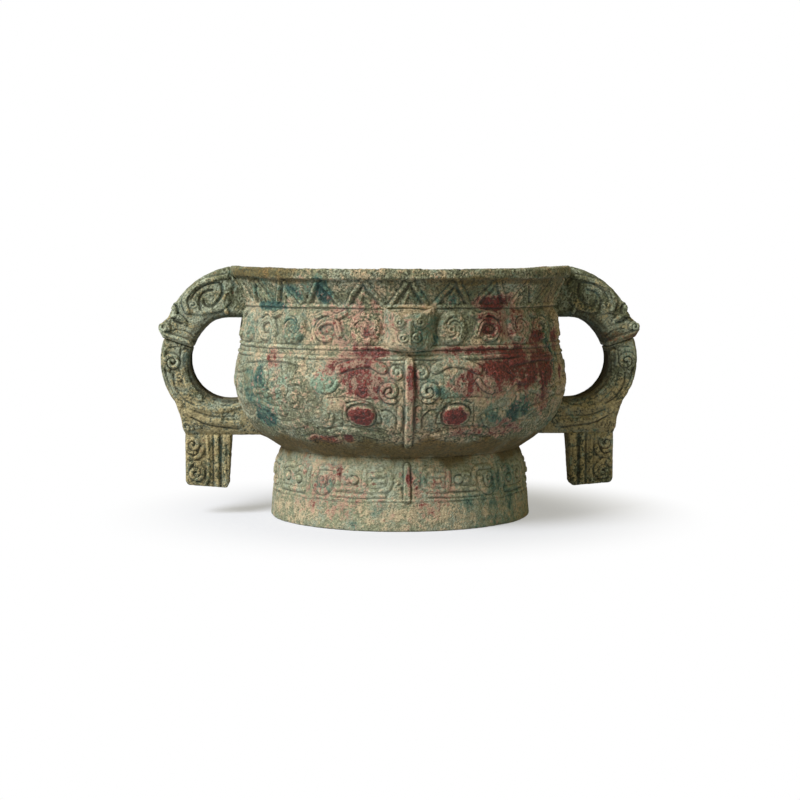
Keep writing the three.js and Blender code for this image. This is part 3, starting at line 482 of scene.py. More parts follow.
# Soil patches, partly painted shade: the ring under the belly, the thin bands under the lip and the dark places among
# the blades at the right stand in for shade.
SOIL_AND_SHADE_PATCHES = [
    (0, 48, 170, 7.5, 1.0),
    (90, 48, 170, 7.5, 1.0),
    (-56, 151.5, 40, 4.4, 0.85),
    (26, 146.8, 60, 2.4, 0.8),
    (16, 143, 26, 6, 0.55),
    (62, 140, 18, 12, 0.55),
    (-42, 147, 34, 1.8, 0.8),
    (0, 151.5, 170, 3.4, 0.3),
    (90, 151.5, 170, 3.4, 0.3),
]
# Buff earth. The patches at 64 to 71 degrees are painted light that brightens the far right of the front, and the
# same places at the back.
BUFF_AND_LIGHT_PATCHES = [
    (39, 88, 8, 8, 1.2),
    (-90, 34, 16, 22, 0.9),
    (24, 112, 8, 3, 0.9),
    (44, 100, 5, 7, 1.0),
    (69, 84, 11, 22, 2.2),
    (71, 106, 8, 14, 2.2),
    (69, 124, 8, 14, 1.8),
    (10, 60, 26, 8, 0.5),
    (-24, 78, 30, 6, 0.6),
    (25, 99, 12, 2.4, 1.1),
    (26, 81, 11, 5, 1.0),
    (-20, 116, 26, 14, 0.8),
    (64, 128, 9, 16, 0.8),
    (-90, 62, 15, 22, 1.0),
    (90, 62, 15, 22, 0.6),
    (-40, 9, 60, 10, 0.5),
    (-4, 9, 40, 9, 0.5),
    (0, 85, 3, 24, 0.9),
    (3, 131, 11, 3.4, 1.3),
]
ROUGH_PATCHES = [
    (0, 151.5, 170, 4.4, 0.85),
    (90, 151.5, 170, 4.4, 0.85),
    (0, 141, 170, 7, 0.7),
    (90, 141, 170, 7, 0.7),
    (14, 138, 20, 6, 0.7),
    (-33, 56, 20, 5, 0.9),
    (-14, 121, 11, 11, 0.8),
    (24, 119, 12, 10, 0.7),
    (14, 82, 16, 16, 0.6),
    (-19, 88, 14, 9, 0.6),
    (36, 96, 30, 12, 0.35),
    (-48, 84, 26, 22, 0.45),
    (0, 58, 170, 5, 0.7),
    (90, 58, 170, 5, 0.7),
    (62, 100, 34, 40, 0.6),
]


def patch_field(points, patches, seed):
    """The strongest patch at each point, with frayed edges."""
    angle = np.degrees(np.arctan2(points[:, 0], -points[:, 1]))
    fray = 0.75 * crust_noise(points + seed, 12, 4)
    field = np.zeros(len(points))
    for middle, height, half_width, half_height, strength in patches:
        for turn in (0, 180):
            away = np.radians((angle - middle - turn + 180) % 360 - 180) * LIP_RADIUS
            reach = np.hypot(away / half_width, (points[:, 2] - height) / half_height)
            field = np.maximum(field, strength * (1 - smooth_step(0.5, 1.5, reach + fray)))
    return field


def store(mesh, name, values):
    attribute = mesh.attributes.new(name, "FLOAT", "POINT")
    attribute.data.foreach_set("value", values.astype(np.float32))


PAINTS = {
    "cuprite": (RED_PATCHES, 11),
    "verdigris": (GREEN_PATCHES, 29),
    "mint": (MINT_PATCHES, 43),
    "soil": (SOIL_AND_SHADE_PATCHES, 59),
    "buff": (BUFF_AND_LIGHT_PATCHES, 67),
    "rough": (ROUGH_PATCHES, 83),
}
print(sum(len(patches) for patches, seed in PAINTS.values()), "patches, front and back")


# %% Finish a piece


def finish_piece(
    mesh, name, nodes, material, relief, direction=None, sculpted=False, paint_places=None, painted_shade=0
):
    """Moves a mesh's points by its relief and crust, paints it, and makes it a piece that stands for nodes."""
    calm = 0.7 if sculpted else 1.0
    points = mesh_points(mesh)
    normals = mesh_normals(mesh)
    direction = normals if direction is None else direction
    worn = relief * wear(points)
    rough = 0 if sculpted else patch_field(points, *PAINTS["rough"])
    skin = crust(points) * (calm + 1.1 * rough)
    height = worn + skin
    # How far each point lies below its neighbours, plus any painted shade given; the material darkens it as dirt and
    # as painted shade.
    hollow = blurred(mesh, height) - height + painted_shade
    # Inner corners of the sculpted pieces get painted shade.
    if sculpted:
        hollow += bend(mesh, points, normals)
    moved = points + direction * worn[:, None] + normals * skin[:, None]
    store(mesh, "hollow", np.clip(hollow, -1, 1))
    for paint, (patches, seed) in PAINTS.items():
        wall_only = paint in ("soil", "rough")
        places = points if wall_only or paint_places is None else paint_places
        share = 0 if wall_only and sculpted else 1
        store(mesh, paint, share * patch_field(places, patches, seed))
    mesh.vertices.foreach_set("co", (moved * MM).ravel())
    mesh.update()
    mesh.shade_smooth()
    piece = bpy.data.objects.new(name, mesh)
    bpy.context.scene.collection.objects.link(piece)
    mesh.materials.append(material)
    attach(piece, BODY)
    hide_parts(*nodes)
    print(name, len(mesh.polygons), "faces")
    return piece

# %% [markdown]
# ## Patina as one shared recipe
#
# Bronze patina is a stack of layers: dark oxide next to the metal, green malachite on it, red cuprite
# where the outer layer has flaked off, buff earth baked onto the high places with painted light on the
# far right, soil with painted shade under the belly and the lip, and dirt with painted shade in the grooves.
# One node group holds that stack, and each material gives it its own colours. The group puts out only
# colour, roughness and height, and the shader stays in the material, where the export can read it.

# %% Node helpers


def colour(red, green, blue):
    """A colour written as it shows on a screen, from 0 to 255, as the renderer wants it."""
    shares = [value / 255 for value in (red, green, blue)]
    return (*[s / 12.92 if s <= 0.04045 else ((s + 0.055) / 1.055) ** 2.4 for s in shares], 1)


def add_node(tree, kind, inputs=None, **settings):
    """Adds a node, sets it, and fills its inputs with values or with other nodes' outputs."""
    made = tree.nodes.new(kind)
    for name, value in settings.items():
        setattr(made, name, value)
    for key, value in (inputs or {}).items():
        if isinstance(value, bpy.types.NodeSocket):
            tree.links.new(value, made.inputs[key])
        else:
            made.inputs[key].default_value = value
    return made


def noise(tree, vector, scale, detail=4, roughness=0.6):
    settings = {"Vector": vector, "Scale": scale, "Detail": detail, "Roughness": roughness}
    return add_node(tree, "ShaderNodeTexNoise", settings).outputs["Fac"]


def maths(tree, operation, first, second=0.0):
    return add_node(tree, "ShaderNodeMath", {0: first, 1: second}, operation=operation).outputs[0]


def weigh(tree, *terms):
    """The sum of some values, each times its weight."""
    total = 0.0
    for value, weight in terms:
        total = add_node(
            tree, "ShaderNodeMath", {0: value, 1: weight, 2: total}, operation="MULTIPLY_ADD"
        ).outputs[0]
    return total


def threshold(tree, value, low, high):
    """A mask that rises from 0 to 1 as the value goes from low to high."""
    settings = {"Value": value, "From Min": low, "From Max": high}
    made = add_node(tree, "ShaderNodeMapRange", settings, interpolation_type="SMOOTHSTEP")
    return made.outputs["Result"]


def mix(tree, share, first, second, blend="MIX"):
    made = add_node(tree, "ShaderNodeMix", data_type="RGBA", blend_type=blend)
    for key, value in ((0, share), (6, first), (7, second)):
        if isinstance(value, bpy.types.NodeSocket):
            tree.links.new(value, made.inputs[key])
        else:
            made.inputs[key].default_value = value
    return made.outputs[2]


print("node helpers ready")

# %% The patina group
MALACHITE = colour(162, 170, 150)
MINT = colour(134, 160, 138)
VERDIGRIS = colour(88, 124, 108)
TEAL = colour(34, 70, 70)
CUPRITE = colour(110, 43, 38)
DARK_CUPRITE = colour(66, 29, 28)
BLOOM = colour(168, 132, 116)
# A dark brown for soil and for painted shade.
SOIL_AND_SHADE = colour(100, 82, 36)
OLIVE = colour(98, 106, 74)

patina = bpy.data.node_groups.new("patina", "ShaderNodeTree")
for name, kind, value in (
    ("Vector", "NodeSocketVector", None),
    ("Hollow_and_shade", "NodeSocketFloat", 0),
    ("Cuprite", "NodeSocketFloat", 0),
    ("Verdigris", "NodeSocketFloat", 0),
    ("Mint", "NodeSocketFloat", 0),
    ("Soil", "NodeSocketFloat", 0),
    ("Buff", "NodeSocketFloat", 0),
    ("Rough", "NodeSocketFloat", 0),
    ("Crust", "NodeSocketFloat", 0),
    ("Grain", "NodeSocketFloat", 0.5),
    ("Film", "NodeSocketColor", colour(118, 124, 98)),
    ("Earth", "NodeSocketColor", colour(176, 156, 122)),
    ("Deep", "NodeSocketColor", colour(56, 50, 36)),
    ("Bloom", "NodeSocketColor", BLOOM),
):
    socket = patina.interface.new_socket(name, in_out="INPUT", socket_type=kind)
    if value is not None:
        socket.default_value = value
for name, kind in (
    ("Color", "NodeSocketColor"),
    ("Roughness", "NodeSocketFloat"),
    ("Height", "NodeSocketFloat"),
):
    patina.interface.new_socket(name, in_out="OUTPUT", socket_type=kind)


def lay(tree, under, over, mask, strength=1.0):
    """Lays one colour over another where the mask says."""
    return mix(tree, maths(tree, "MULTIPLY", mask, strength), under, over)


def fill_patina(tree):
    """The layers of patina, from the metal outwards."""
    given = tree.nodes.new("NodeGroupInput").outputs
    vector = given["Vector"]
    broad = noise(tree, vector, 34, 4, 0.6)
    patches = noise(tree, vector, 150, 6, 0.7)
    other = noise(tree, vector, 110, 7, 0.75)
    grain = noise(tree, vector, 720, 2, 0.6)
    grit = noise(tree, vector, 1250, 1, 0.5)
    crumbs = noise(tree, vector, 330, 3, 0.6)
    tall = add_node(tree, "ShaderNodeMapping", {"Vector": vector, "Scale": (1, 1, 0.3)}).outputs["Vector"]
    streaks = noise(tree, tall, 260, 4, 0.65)
    hollow = given["Hollow_and_shade"]

    film = mix(tree, maths(tree, "MULTIPLY", given["Rough"], 0.35), given["Film"], OLIVE)
    paled = weigh(tree, (broad, 0.35), (other, 0.4), (grain, 0.25), (given["Rough"], -0.05))
    layers = mix(tree, threshold(tree, paled, 0.44, 0.56), film, MALACHITE)
    # Earth crust, pushed up by the buff paint, which is partly painted light.
    crusted = weigh(
        tree,
        (patches, 0.5),
        (grain, 0.3),
        (broad, 0.2),
        (given["Crust"], 1.0),
        (given["Buff"], 0.09),
        (given["Rough"], -0.02),
    )
    crust_mask = threshold(tree, crusted, 0.49, 0.57)
    layers = lay(tree, layers, given["Earth"], crust_mask, 0.85)
    minted = weigh(tree, (other, 0.5), (grain, 0.2), (given["Mint"], 0.3))
    layers = lay(tree, layers, MINT, threshold(tree, minted, 0.5, 0.58), 0.85)

    greened = weigh(tree, (other, 0.5), (streaks, 0.3), (grain, 0.2), (given["Verdigris"], 0.13))
    layers = lay(tree, layers, VERDIGRIS, threshold(tree, greened, 0.55, 0.61), 0.8)
    teal_mask = threshold(tree, greened, 0.61, 0.67)
    layers = lay(tree, layers, TEAL, teal_mask, 0.85)

    reddened = weigh(
        tree,
        (patches, 0.3),
        (streaks, 0.24),
        (crumbs, 0.18),
        (other, 0.1),
        (grain, 0.18),
        (given["Cuprite"], 0.18),
    )
    layers = lay(tree, layers, given["Bloom"], threshold(tree, reddened, 0.54, 0.6), 0.82)
    red_mask = threshold(tree, reddened, 0.625, 0.645)
    red = mix(tree, threshold(tree, weigh(tree, (grain, 0.5), (other, 0.5)), 0.42, 0.58), DARK_CUPRITE, CUPRITE)
    layers = lay(tree, layers, red, red_mask, 0.94)
    red_crumbs = threshold(tree, weigh(tree, (crumbs, 1.0), (given["Cuprite"], 0.17)), 0.675, 0.72)
    layers = lay(tree, layers, CUPRITE, red_crumbs, 0.6)

    # Soil, partly painted shade under the belly, under the lip and among the blades at the right.
    soil_and_shade_share = weigh(tree, (given["Soil"], 0.42), (patches, 0.25), (crumbs, 0.25), (grain, 0.25))
    soil_and_shade_mask = threshold(tree, soil_and_shade_share, 0.4, 0.82)
    layers = lay(tree, layers, SOIL_AND_SHADE, soil_and_shade_mask, 0.86)
    # Dirt and painted shade in the hollows and inner corners, turning teal where the patina is green.
    dirt_and_shade = threshold(tree, weigh(tree, (hollow, 1.0), (grain, 0.5)), 0.3, 0.62)
    dirt_and_shade = maths(tree, "MULTIPLY", dirt_and_shade, weigh(tree, (given["Grain"], 0.45), (1.0, 0.42)))
    deep = lay(tree, given["Deep"], TEAL, threshold(tree, greened, 0.48, 0.55), 0.75)
    layers = lay(tree, layers, deep, dirt_and_shade)
    pits = maths(tree, "MULTIPLY", threshold(tree, grain, 0.38, 0.3), given["Grain"])
    layers = lay(tree, layers, given["Deep"], pits, 0.6)
    worn = threshold(tree, weigh(tree, (hollow, -1.0), (grain, 0.3)), 0.24, 0.5)
    lift = add_node(tree, "ShaderNodeMapRange", {"Value": worn, "To Min": 1.0, "To Max": 1.25}).outputs["Result"]

    speckle = threshold(tree, weigh(tree, (grain, 0.65), (grit, 0.35)), 0.34, 0.66)
    speckle = weigh(tree, (speckle, 1.2), (1.0, -0.6))
    coarse = weigh(tree, (given["Grain"], 1.0), (given["Rough"], 0.8), (red_mask, 0.1))
    speckle = maths(tree, "MULTIPLY", speckle, coarse)
    mottled = threshold(tree, weigh(tree, (crumbs, 0.6), (patches, 0.4)), 0.36, 0.64)
    speckle = weigh(tree, (speckle, 0.85), (mottled, 0.44), (1.0, 0.78))
    shade = maths(tree, "MULTIPLY", speckle, lift)
    tone = add_node(tree, "ShaderNodeCombineColor", {0: shade, 1: shade, 2: shade}).outputs[0]
    layers = mix(tree, 1.0, layers, tone, "MULTIPLY")

    bare = maths(tree, "SUBTRACT", 1.0, red_mask)
    roughness = add_node(
        tree, "ShaderNodeMapRange", {"Value": bare, "To Min": 0.38, "To Max": 0.84}
    ).outputs["Result"]
    height = weigh(tree, (grain, 0.7), (grit, 0.25), (crust_mask, 0.12), (red_mask, -0.25))
    out = tree.nodes.new("NodeGroupOutput")
    tree.links.new(layers, out.inputs["Color"])
    tree.links.new(roughness, out.inputs["Roughness"])
    tree.links.new(height, out.inputs["Height"])


fill_patina(patina)
print("patina group", len(patina.nodes), "nodes")

# %% Bronze materials
BUMP_DEPTH = 0.0015


def attribute(tree, name):
    return add_node(tree, "ShaderNodeAttribute", attribute_name=name).outputs["Fac"]


def bronze(name, film, earth, crust_amount, grain, bloom=BLOOM, deep=colour(50, 48, 34)):
    """A bronze surface: the shared patina with its own colours and its own amount of earth."""
    material = bpy.data.materials.new(name)
    material.use_nodes = True
    tree = material.node_tree
    shader = tree.nodes["Principled BSDF"]
    place = add_node(tree, "ShaderNodeTexCoord").outputs["Object"]
    settings = {
        "Vector": place,
        "Hollow_and_shade": attribute(tree, "hollow"),
        **{paint.capitalize(): attribute(tree, paint) for paint in PAINTS},
        "Crust": crust_amount,
        "Grain": grain,
        "Film": film,
        "Earth": earth,
        "Deep": deep,
        "Bloom": bloom,
    }
    layers = add_node(tree, "ShaderNodeGroup", node_tree=patina)
    for key, value in settings.items():
        if isinstance(value, bpy.types.NodeSocket):
            tree.links.new(value, layers.inputs[key])
        else:
            layers.inputs[key].default_value = value
    bump = add_node(tree, "ShaderNodeBump", {"Height": layers.outputs["Height"]})
    bump.inputs["Distance"].default_value = BUMP_DEPTH
    tree.links.new(layers.outputs["Color"], shader.inputs["Base Color"])
    tree.links.new(layers.outputs["Roughness"], shader.inputs["Roughness"])
    tree.links.new(bump.outputs["Normal"], shader.inputs["Normal"])
    return material


wall_bronze = bronze("wall_bronze", colour(126, 129, 104), colour(180, 162, 132), 0.0, 0.5)
foot_bronze = bronze("foot_bronze", colour(144, 148, 120), colour(190, 174, 142), 0.0, 0.4)
handle_bronze = bronze("handle_bronze", colour(90, 95, 70), colour(160, 146, 106), -0.012, 0.7, colour(112, 92, 66))
inside_bronze = bronze("inside_bronze", colour(84, 92, 70), colour(142, 128, 96), -0.03, 0.7)
print("bronze materials", len(bpy.data.materials))

# %% [markdown]
# ## Drawing the ornament
#
# The wall is divided into four equal fields by the two ridges and the two handles, and the mould maker
# drew one field and its mirror image. So one drawing is enough: distance from the nearest ridge across,
# height up. On the neck stand leaf blades, then a band of whirling roundels and coiled dragons between
# raised bowstrings. On the belly each half of a taotie mask faces the ridge: a heavy horn, a staring eye,
# an ear, a jaw, and a body that trails off towards the handle.

# %% Ornament of the neck
STRING_HEIGHTS = (132.4, 108.6, 103.2)
BLADE_STEP = 26.2
ROUNDEL_PLACES = (25.5, 73.3, 121.5)
DRAGON_PLACES = (48.9, 97, 145.5)
BAND_MIDDLE = 119.8


def draw_blade(board, middle):
    """A leaf that points up: two raised legs that meet, a cut line inside them and a slender inner leaf."""
    for half, top, kind in ((10.4, 147, "leg"), (7.4, 143.6, "line"), (3.2, 141.2, "leaf")):
        leg = [(half, 134), (half * 0.68, 134 + (top - 134) * 0.36), (half * 0.33, 134 + (top - 134) * 0.7)]
        line = curve([(middle - x, z) for x, z in leg] + [(middle, top)] + [(middle + x, z) for x, z in leg[::-1]])
        if kind == "leg":
            board.band(line, 1.9, 1.1, 0.5, 0.35)
        elif kind == "line":
            board.groove(line, 1.3, 0.8)
        else:
            board.band(line, 1.6, 0.9, 0.5)


def draw_roundel(board, middle):
    """A disc with a whirl of curved commas round a small boss."""
    centre = np.array((middle, BAND_MIDDLE))
    rng = np.random.default_rng(int(middle))
    board.boss(centre, 9.6, 10.4, 2.1, crown=0.2)
    board.cord(ring(centre + rng.uniform(-0.8, 0.8, 2), 1.6), 1.9, 2.9)
    for start in range(20, 380, 72):
        swing, reach, size = rng.uniform(-14, 14), rng.uniform(6.4, 7.8), rng.uniform(1.5, 2.5)
        arm = spiral(centre, reach, 0.34, start + swing, 1, 0.5)
        board.band(arm, size + 0.4, 2.8, 0.8)
        board.groove(arm * 0.86 + centre * 0.14, 0.8, 0.5)
        board.boss(arm[0], size, size, 3.2)


def draw_dragon(board, middle):
    """A small coiled dragon: a curled body with an eye, and a crest above it."""
    centre = (middle, BAND_MIDDLE)
    body = curve([(-8, -3.6), (-4.9, 2.8), (-0.5, 4.4), (4.6, 3), (6.9, -1.2), (3.4, -5.6), (-1.4, -6)]) + centre
    crest = curve([(-10.4, 8.4), (-5, 6.6), (1, 8.4), (7.8, 6.8)]) + centre
    for line, width in ((body, 3.5), (crest, 2.8)):
        board.band(line, width, 2.0, 0.7)
        board.groove(line, 0.9, 0.7)
    board.boss((middle - 0.2, BAND_MIDDLE - 1), 1.5, 1.3, 1.3)
    board.band(curve([(6.6, -8.4), (9.4, -3.4), (10, 2.8)]) + centre, 2, 1.1, 0.6)


def draw_neck(board):
    for step in range(7):
        draw_blade(board, step * BLADE_STEP)
    for place in ROUNDEL_PLACES:
        draw_roundel(board, place)
    for place in DRAGON_PLACES:
        draw_dragon(board, place)
    for height in STRING_HEIGHTS:
        line = np.array([(-4, height), (165, height)], float)
        board.cord(line, 2.2, 0.75)
        board.groove(line + (0, 1.4), 0.8, 0.2)
        board.groove(line - (0, 1.4), 0.8, 0.45)


print("blades every", BLADE_STEP, "mm,", len(ROUNDEL_PLACES), "roundels and", len(DRAGON_PLACES), "dragons")

# %% Ornament of the belly and the handle roots
MASK_BANDS = [
    (5.0, 1.0, [(15, 97), (22, 100.4), (31, 99.6), (40, 96.4)]),
    (3.8, 0.9, [(15, 56.8), (26, 59.4), (39, 60.6), (50.6, 59)]),
    (4.6, 0.9, [(80, 70), (92, 71.6), (108, 75), (124, 74), (138, 77.6)]),
    (4.0, 0.9, [(64.6, 99.4), (80, 101.6), (96, 101.6), (113, 100.2)]),
    (4.0, 0.9, [(65.4, 64.6), (78.5, 62), (94, 64.4), (100, 71.4)]),
    (3.6, 0.9, [(110, 66), (122, 62.6), (134, 65), (141, 71)]),
    (3.4, 0.9, [(112, 96), (128, 93.4), (142, 96)]),
    (2.6, 0.8, [(5.6, 74), (5.4, 68), (5.8, 62.6)]),
    (3.0, 0.8, [(78, 84), (86, 81.6), (94, 79.6)]),
    (2.6, 1.0, [(104.7, 89), (99.5, 96), (92.5, 93), (91, 87), (93.4, 82.5), (105.6, 81)]),
    (2.2, 0.9, [(83.6, 89.6), (87.4, 88.4), (88.2, 84.6), (84.6, 83)]),
    (2.0, 0.9, [(59.3, 70), (55, 63.4), (49, 63.8), (45.4, 69)]),
    (2.4, 1.0, [(60, 84), (65, 88.6), (72.6, 87.6), (76, 92)]),
    (2.4, 0.9, [(104, 80), (111, 83.6), (118, 82), (122, 86.6)]),
    (2.2, 0.9, [(44, 55.4), (52, 53.6), (60, 55.6), (70, 54)]),
    (2.2, 0.9, [(40, 90), (44, 85), (49, 83.4)]),
    (2.0, 0.9, [(84, 66), (90, 69.4), (97, 66.4)]),
]
MASK_SCROLLS = [
    ((6.7, 94.6), 3.3, 60, -1, 1.2, 1.8, 1.2),
    ((10.6, 84), 5.4, 250, 1, 1.4, 2.4, 1.5),
    ((69.8, 77), 4.6, 120, -1, 1.3, 1.9, 0.9),
    ((128, 84.4), 5.6, 60, -1, 1.3, 2.4, 0.9),
    ((143, 86), 4.2, 200, 1, 1.2, 2.0, 0.8),
]
MASK_SWELLINGS = [
    ((53.4, 68), 6.5, 4.8, 1.2, -8),
    ((53, 89), 10, 6.3, 0.9, 0),
    ((70.8, 79), 4, 3.5, 1.0, 0),
    ((99.5, 89.4), 7.5, 6.5, 1.1, 20),
]
MASK_LINES = [
    (1.1, 0.8, [(4.9, 62.6), (7.3, 62.2), (7.6, 68.5), (11.5, 72.8), (15.4, 73.2)]),
    (1.2, 0.9, [(22.4, 77.2), (17.6, 72.4), (15.9, 65.5), (21.4, 65.2), (28, 63.8), (35.6, 66.4)]),
    (1.0, 0.7, [(20.4, 76.6), (28, 78.8), (35.8, 77)]),
    (1.0, 0.6, [(12.4, 79.4), (22, 79.9), (31, 80), (38, 80.4), (47, 79.4)]),
    (1.0, 0.65, [(37.4, 75.4), (38.9, 69.8), (39.6, 64), (42.8, 59.8)]),
    (1.0, 0.65, [(4.9, 59.6), (9.8, 59.4), (15.5, 61.6), (21.7, 62.4)]),
    (1.0, 0.6, [(6.2, 56.2), (8.6, 54), (13, 54), (14.8, 56.6), (11, 58)]),
    (1.0, 0.55, [(66.4, 72.4), (74, 70.6), (83.9, 70.6), (95, 72.4), (108, 73.6), (124, 71.6)]),
    (1.0, 0.5, [(64, 97.2), (80, 99.2), (96, 99.2), (112, 97.8)]),
    (0.9, 0.5, [(16, 94.6), (23, 97.6), (31, 96.8), (39, 93.8)]),
    (0.9, 0.5, [(107.5, 95.7), (108, 89), (103.4, 83.4), (97.4, 82)]),
    (0.9, 0.5, [(44, 62.8), (50, 62), (57, 62.8), (62, 66)]),
]
MASK_RINGS = [((54.6, 69), 2, 1.8), ((56.5, 75.8), 3.6, 2.2), ((99, 88.4), 2.8, 2.2), ((12, 84), 1, 1)]


def draw_belly(board):
    """Half a taotie mask: scrolls on the forehead, eye, ear and jaw, then what is left of its worn body."""
    for centre, half_width, half_height, proud, tilt in MASK_SWELLINGS:
        board.boss(centre, half_width, half_height, proud, tilt, 0.4)
        board.groove(ring(centre, half_width + 0.5, half_height + 0.5, tilt), 0.9, 0.2)
    for width, proud, points in MASK_BANDS:
        clear = points[0][0] < 60
        board.band(curve(points), width, proud, 0.7 if clear else 0.95, 0.45 if clear else 0.3)
    for centre, radius, start, hand, turns, width, proud in MASK_SCROLLS:
        board.band(spiral(centre, radius, turns, start, hand, 0.2), width, proud, 0.6, 0.4)
        board.groove(ring(centre, radius + 1.5), 0.9, 0.4)
    for width, depth, points in MASK_LINES:
        board.groove(curve(points), width, depth)
    for centre, half_width, half_height in MASK_RINGS:
        board.groove(ring(centre, half_width, half_height), 0.9, 0.5)
    eye = [(19.4, 70.6), (21.6, 74.6), (26.6, 76), (32.4, 74.8), (35.2, 71.4), (33.8, 66.4), (28.2, 64.4), (21.6, 65)]
    outline = curve([*eye, eye[0]])
    board.shape(outline, 2.2, 0.8)
    board.boss((27.4, 70.2), 7.8, 5.2, 3.4, 6, 0.35)
    board.groove(outline + 0.09 * (outline - np.mean(eye, 0)), 1.2, 0.9)
    board.groove(np.array([(25.4, 69.8), (30.4, 70.2)]), 1.2, 0.6)
    rng = np.random.default_rng(3)
    for x in np.arange(44, 152, 8.6):
        for z in np.arange(55, 102, 8.2):
            middle = np.array((x, z)) + rng.uniform(-1, 1, 2)
            curl = spiral(middle, 3.1, 1.3, rng.integers(0, 4) * 90, rng.choice((-1, 1)))
            if abs(x - 50) > 9 or abs(z - 89) > 7:
                board.groove(curl, 0.8, 0.3)


def wall_relief(points):
    """All the ornament on the wall, drawn by distance from the nearest ridge and height."""
    up = points[:, 2]
    board = wavering(points, unroll(points, 100), up)
    draw_neck(board)
    draw_belly(board)
    board.band(np.array([(0, 52.5), (0, 101.2)]), 4.4, 2.7, 0.5)
    board.band(np.array([(0, 101), (11, 100.8)]), 1.6, 0.9, 0.5)
    for low, high in ((121, 150), (52, 70)):
        board.plate(np.array((149, low)), np.array((170, high)), 1.2, 6)
    return board.total() * smooth_step(148.4, 147.2, up) * smooth_step(46.5, 51, up)


print(len(MASK_BANDS) + len(MASK_SCROLLS) + len(MASK_LINES), "strokes in half a mask")

# %% [markdown]
# ## The bowl's skin in four mould sections
#
# The founder's outer mould came apart into sections, and their joints ran along the ridges and behind
# the handles. The skin is built the same way: a section through the wall is spun a quarter turn, three
# copies of it are turned to their places, and neighbours meet under the ridges and the handles. The
# outer side has a row every 0.5 mm, fine enough to carry cut lines a millimetre wide. The inner side is
# hidden by the lining, so its rows are coarse.

# %% Spin a wall section
QUARTER_STEPS = 320


def section_normals(section):
    """The outward direction at each point of a section that runs up its outer side."""
    before, after = np.roll(section, 1, axis=0), np.roll(section, -1, axis=0)
    along = after - before
    normals = np.column_stack((along[:, 1], -along[:, 0]))
    return normals / np.linalg.norm(normals, axis=1)[:, None]


def spin_section(section, steps):
    """Spins a closed section a quarter turn about the vessel's axis. Each point keeps its row number."""
    shell = bmesh.new()
    row = shell.verts.layers.int.new("row")
    verts = [shell.verts.new((0, -radius, height)) for radius, height in section]
    for index, vert in enumerate(verts):
        vert[row] = index
    edges = [shell.edges.new(pair) for pair in zip(verts, verts[1:] + verts[:1])]
    bmesh.ops.spin(
        shell,
        geom=verts + edges,
        cent=(0, 0, 0),
        axis=(0, 0, 1),
        angle=math.pi / 2,
        steps=steps,
        use_merge=False,
        use_normal_flip=False,
        use_duplicate=False,
    )
    open_edges = [edge for edge in shell.edges if edge.is_boundary]
    bmesh.ops.holes_fill(shell, edges=open_edges, sides=0)
    for edge in open_edges:
        edge.smooth = False
    bmesh.ops.recalc_face_normals(shell, faces=shell.faces)
    mesh = bpy.data.meshes.new("shell")
    shell.to_mesh(mesh)
    shell.free()
    return mesh


def turned_copy(mesh, index):
    """A copy of a quarter, turned to its place: 0 starts at the front ridge."""
    copy = mesh.copy()
    copy.transform(Matrix.Rotation(math.pi / 2 * index, 4, "Z"))
    return copy


def rows_of(mesh):
    rows = np.empty(len(mesh.vertices), np.int32)
    mesh.attributes["row"].data.foreach_get("value", rows)
    mesh.attributes.remove(mesh.attributes["row"])
    return rows


def turned_out(points, rows, normals):
    """A section's directions, turned to where each point stands round the vessel."""
    reach = np.maximum(np.hypot(points[:, 0], points[:, 1]), 1e-6)
    flat = normals[rows]
    return np.column_stack(
        (flat[:, 0] * points[:, 0] / reach, flat[:, 0] * points[:, 1] / reach, flat[:, 1])
    )


def lift_lip(points):
    """The lip stands a little higher beside the handles than at the front."""
    reach = np.maximum(np.hypot(points[:, 0], points[:, 1]), 1)
    climb = smooth_step(NECK_HEIGHT, LIP_TOP - LIP_LIFT - 3.6, points[:, 2])
    points[:, 2] += LIP_LIFT * climb * (points[:, 0] / reach) ** 4
    return points


print("one step is", round(math.radians(90 / QUARTER_STEPS) * LIP_RADIUS, 2), "mm at the lip")

# %% The four quarters of the wall
LIP_HEIGHT = LIP_TOP - LIP_LIFT
LIP_ROLL = [
    (LIP_RADIUS - 3.9, LIP_HEIGHT - 6.2),
    (LIP_RADIUS - 1.9, LIP_HEIGHT - 6.2),
    (LIP_RADIUS - 0.4, LIP_HEIGHT - 5.6),
    (LIP_RADIUS, LIP_HEIGHT - 4.4),
    (LIP_RADIUS, LIP_HEIGHT - 2.4),
    (LIP_RADIUS - 0.3, LIP_HEIGHT - 0.9),
    (LIP_RADIUS - 1.4, LIP_HEIGHT),
    (LIP_RADIUS - 2.8, LIP_HEIGHT - 0.2),
    (LIP_RADIUS - 3.8, LIP_HEIGHT - 1.4),
]
outer_line = spaced(wall_curve, FINE)
outer_line = np.vstack((outer_line, spaced(curve(LIP_ROLL, 6), FINE)))
inner_line = [(wall_radius(height) - SKIN, height) for height in np.arange(149, FOOT_TOP, -4)]
wall_section = np.vstack((outer_line, inner_line))
wall_normals = section_normals(wall_section)


wall_quarter = spin_section(wall_section, QUARTER_STEPS)


def build_wall(index):
    mesh = turned_copy(wall_quarter, index)
    points = mesh_points(mesh)
    rows = rows_of(mesh)
    direction = turned_out(points, rows, wall_normals)
    outside = rows < len(outer_line)
    relief = np.zeros(len(points))
    relief[outside] = wall_relief(points[outside])
    mesh.vertices.foreach_set("co", lift_lip(points).ravel())
    return finish_piece(mesh, f"bowl_wall_{index + 1}", ["bowl"], wall_bronze, relief, direction)


for quarter in range(4):
    build_wall(quarter)

# %% [markdown]
# ## Lining, floor and collar
#
# Inside, the bowl is plain. One lathe-turned lining covers the wall's inner side and the floor, and runs
# on under the floor to the collar that centres the bowl in its foot. The four chaplets, the spacers that
# held the mould's core, stay in the floor as square bronze plugs, so the lining's floor lies a hair
# below their tops. Its patches of corrosion are turned and stretched, because the inside corroded on its
# own and its patches aren't those of the outside.

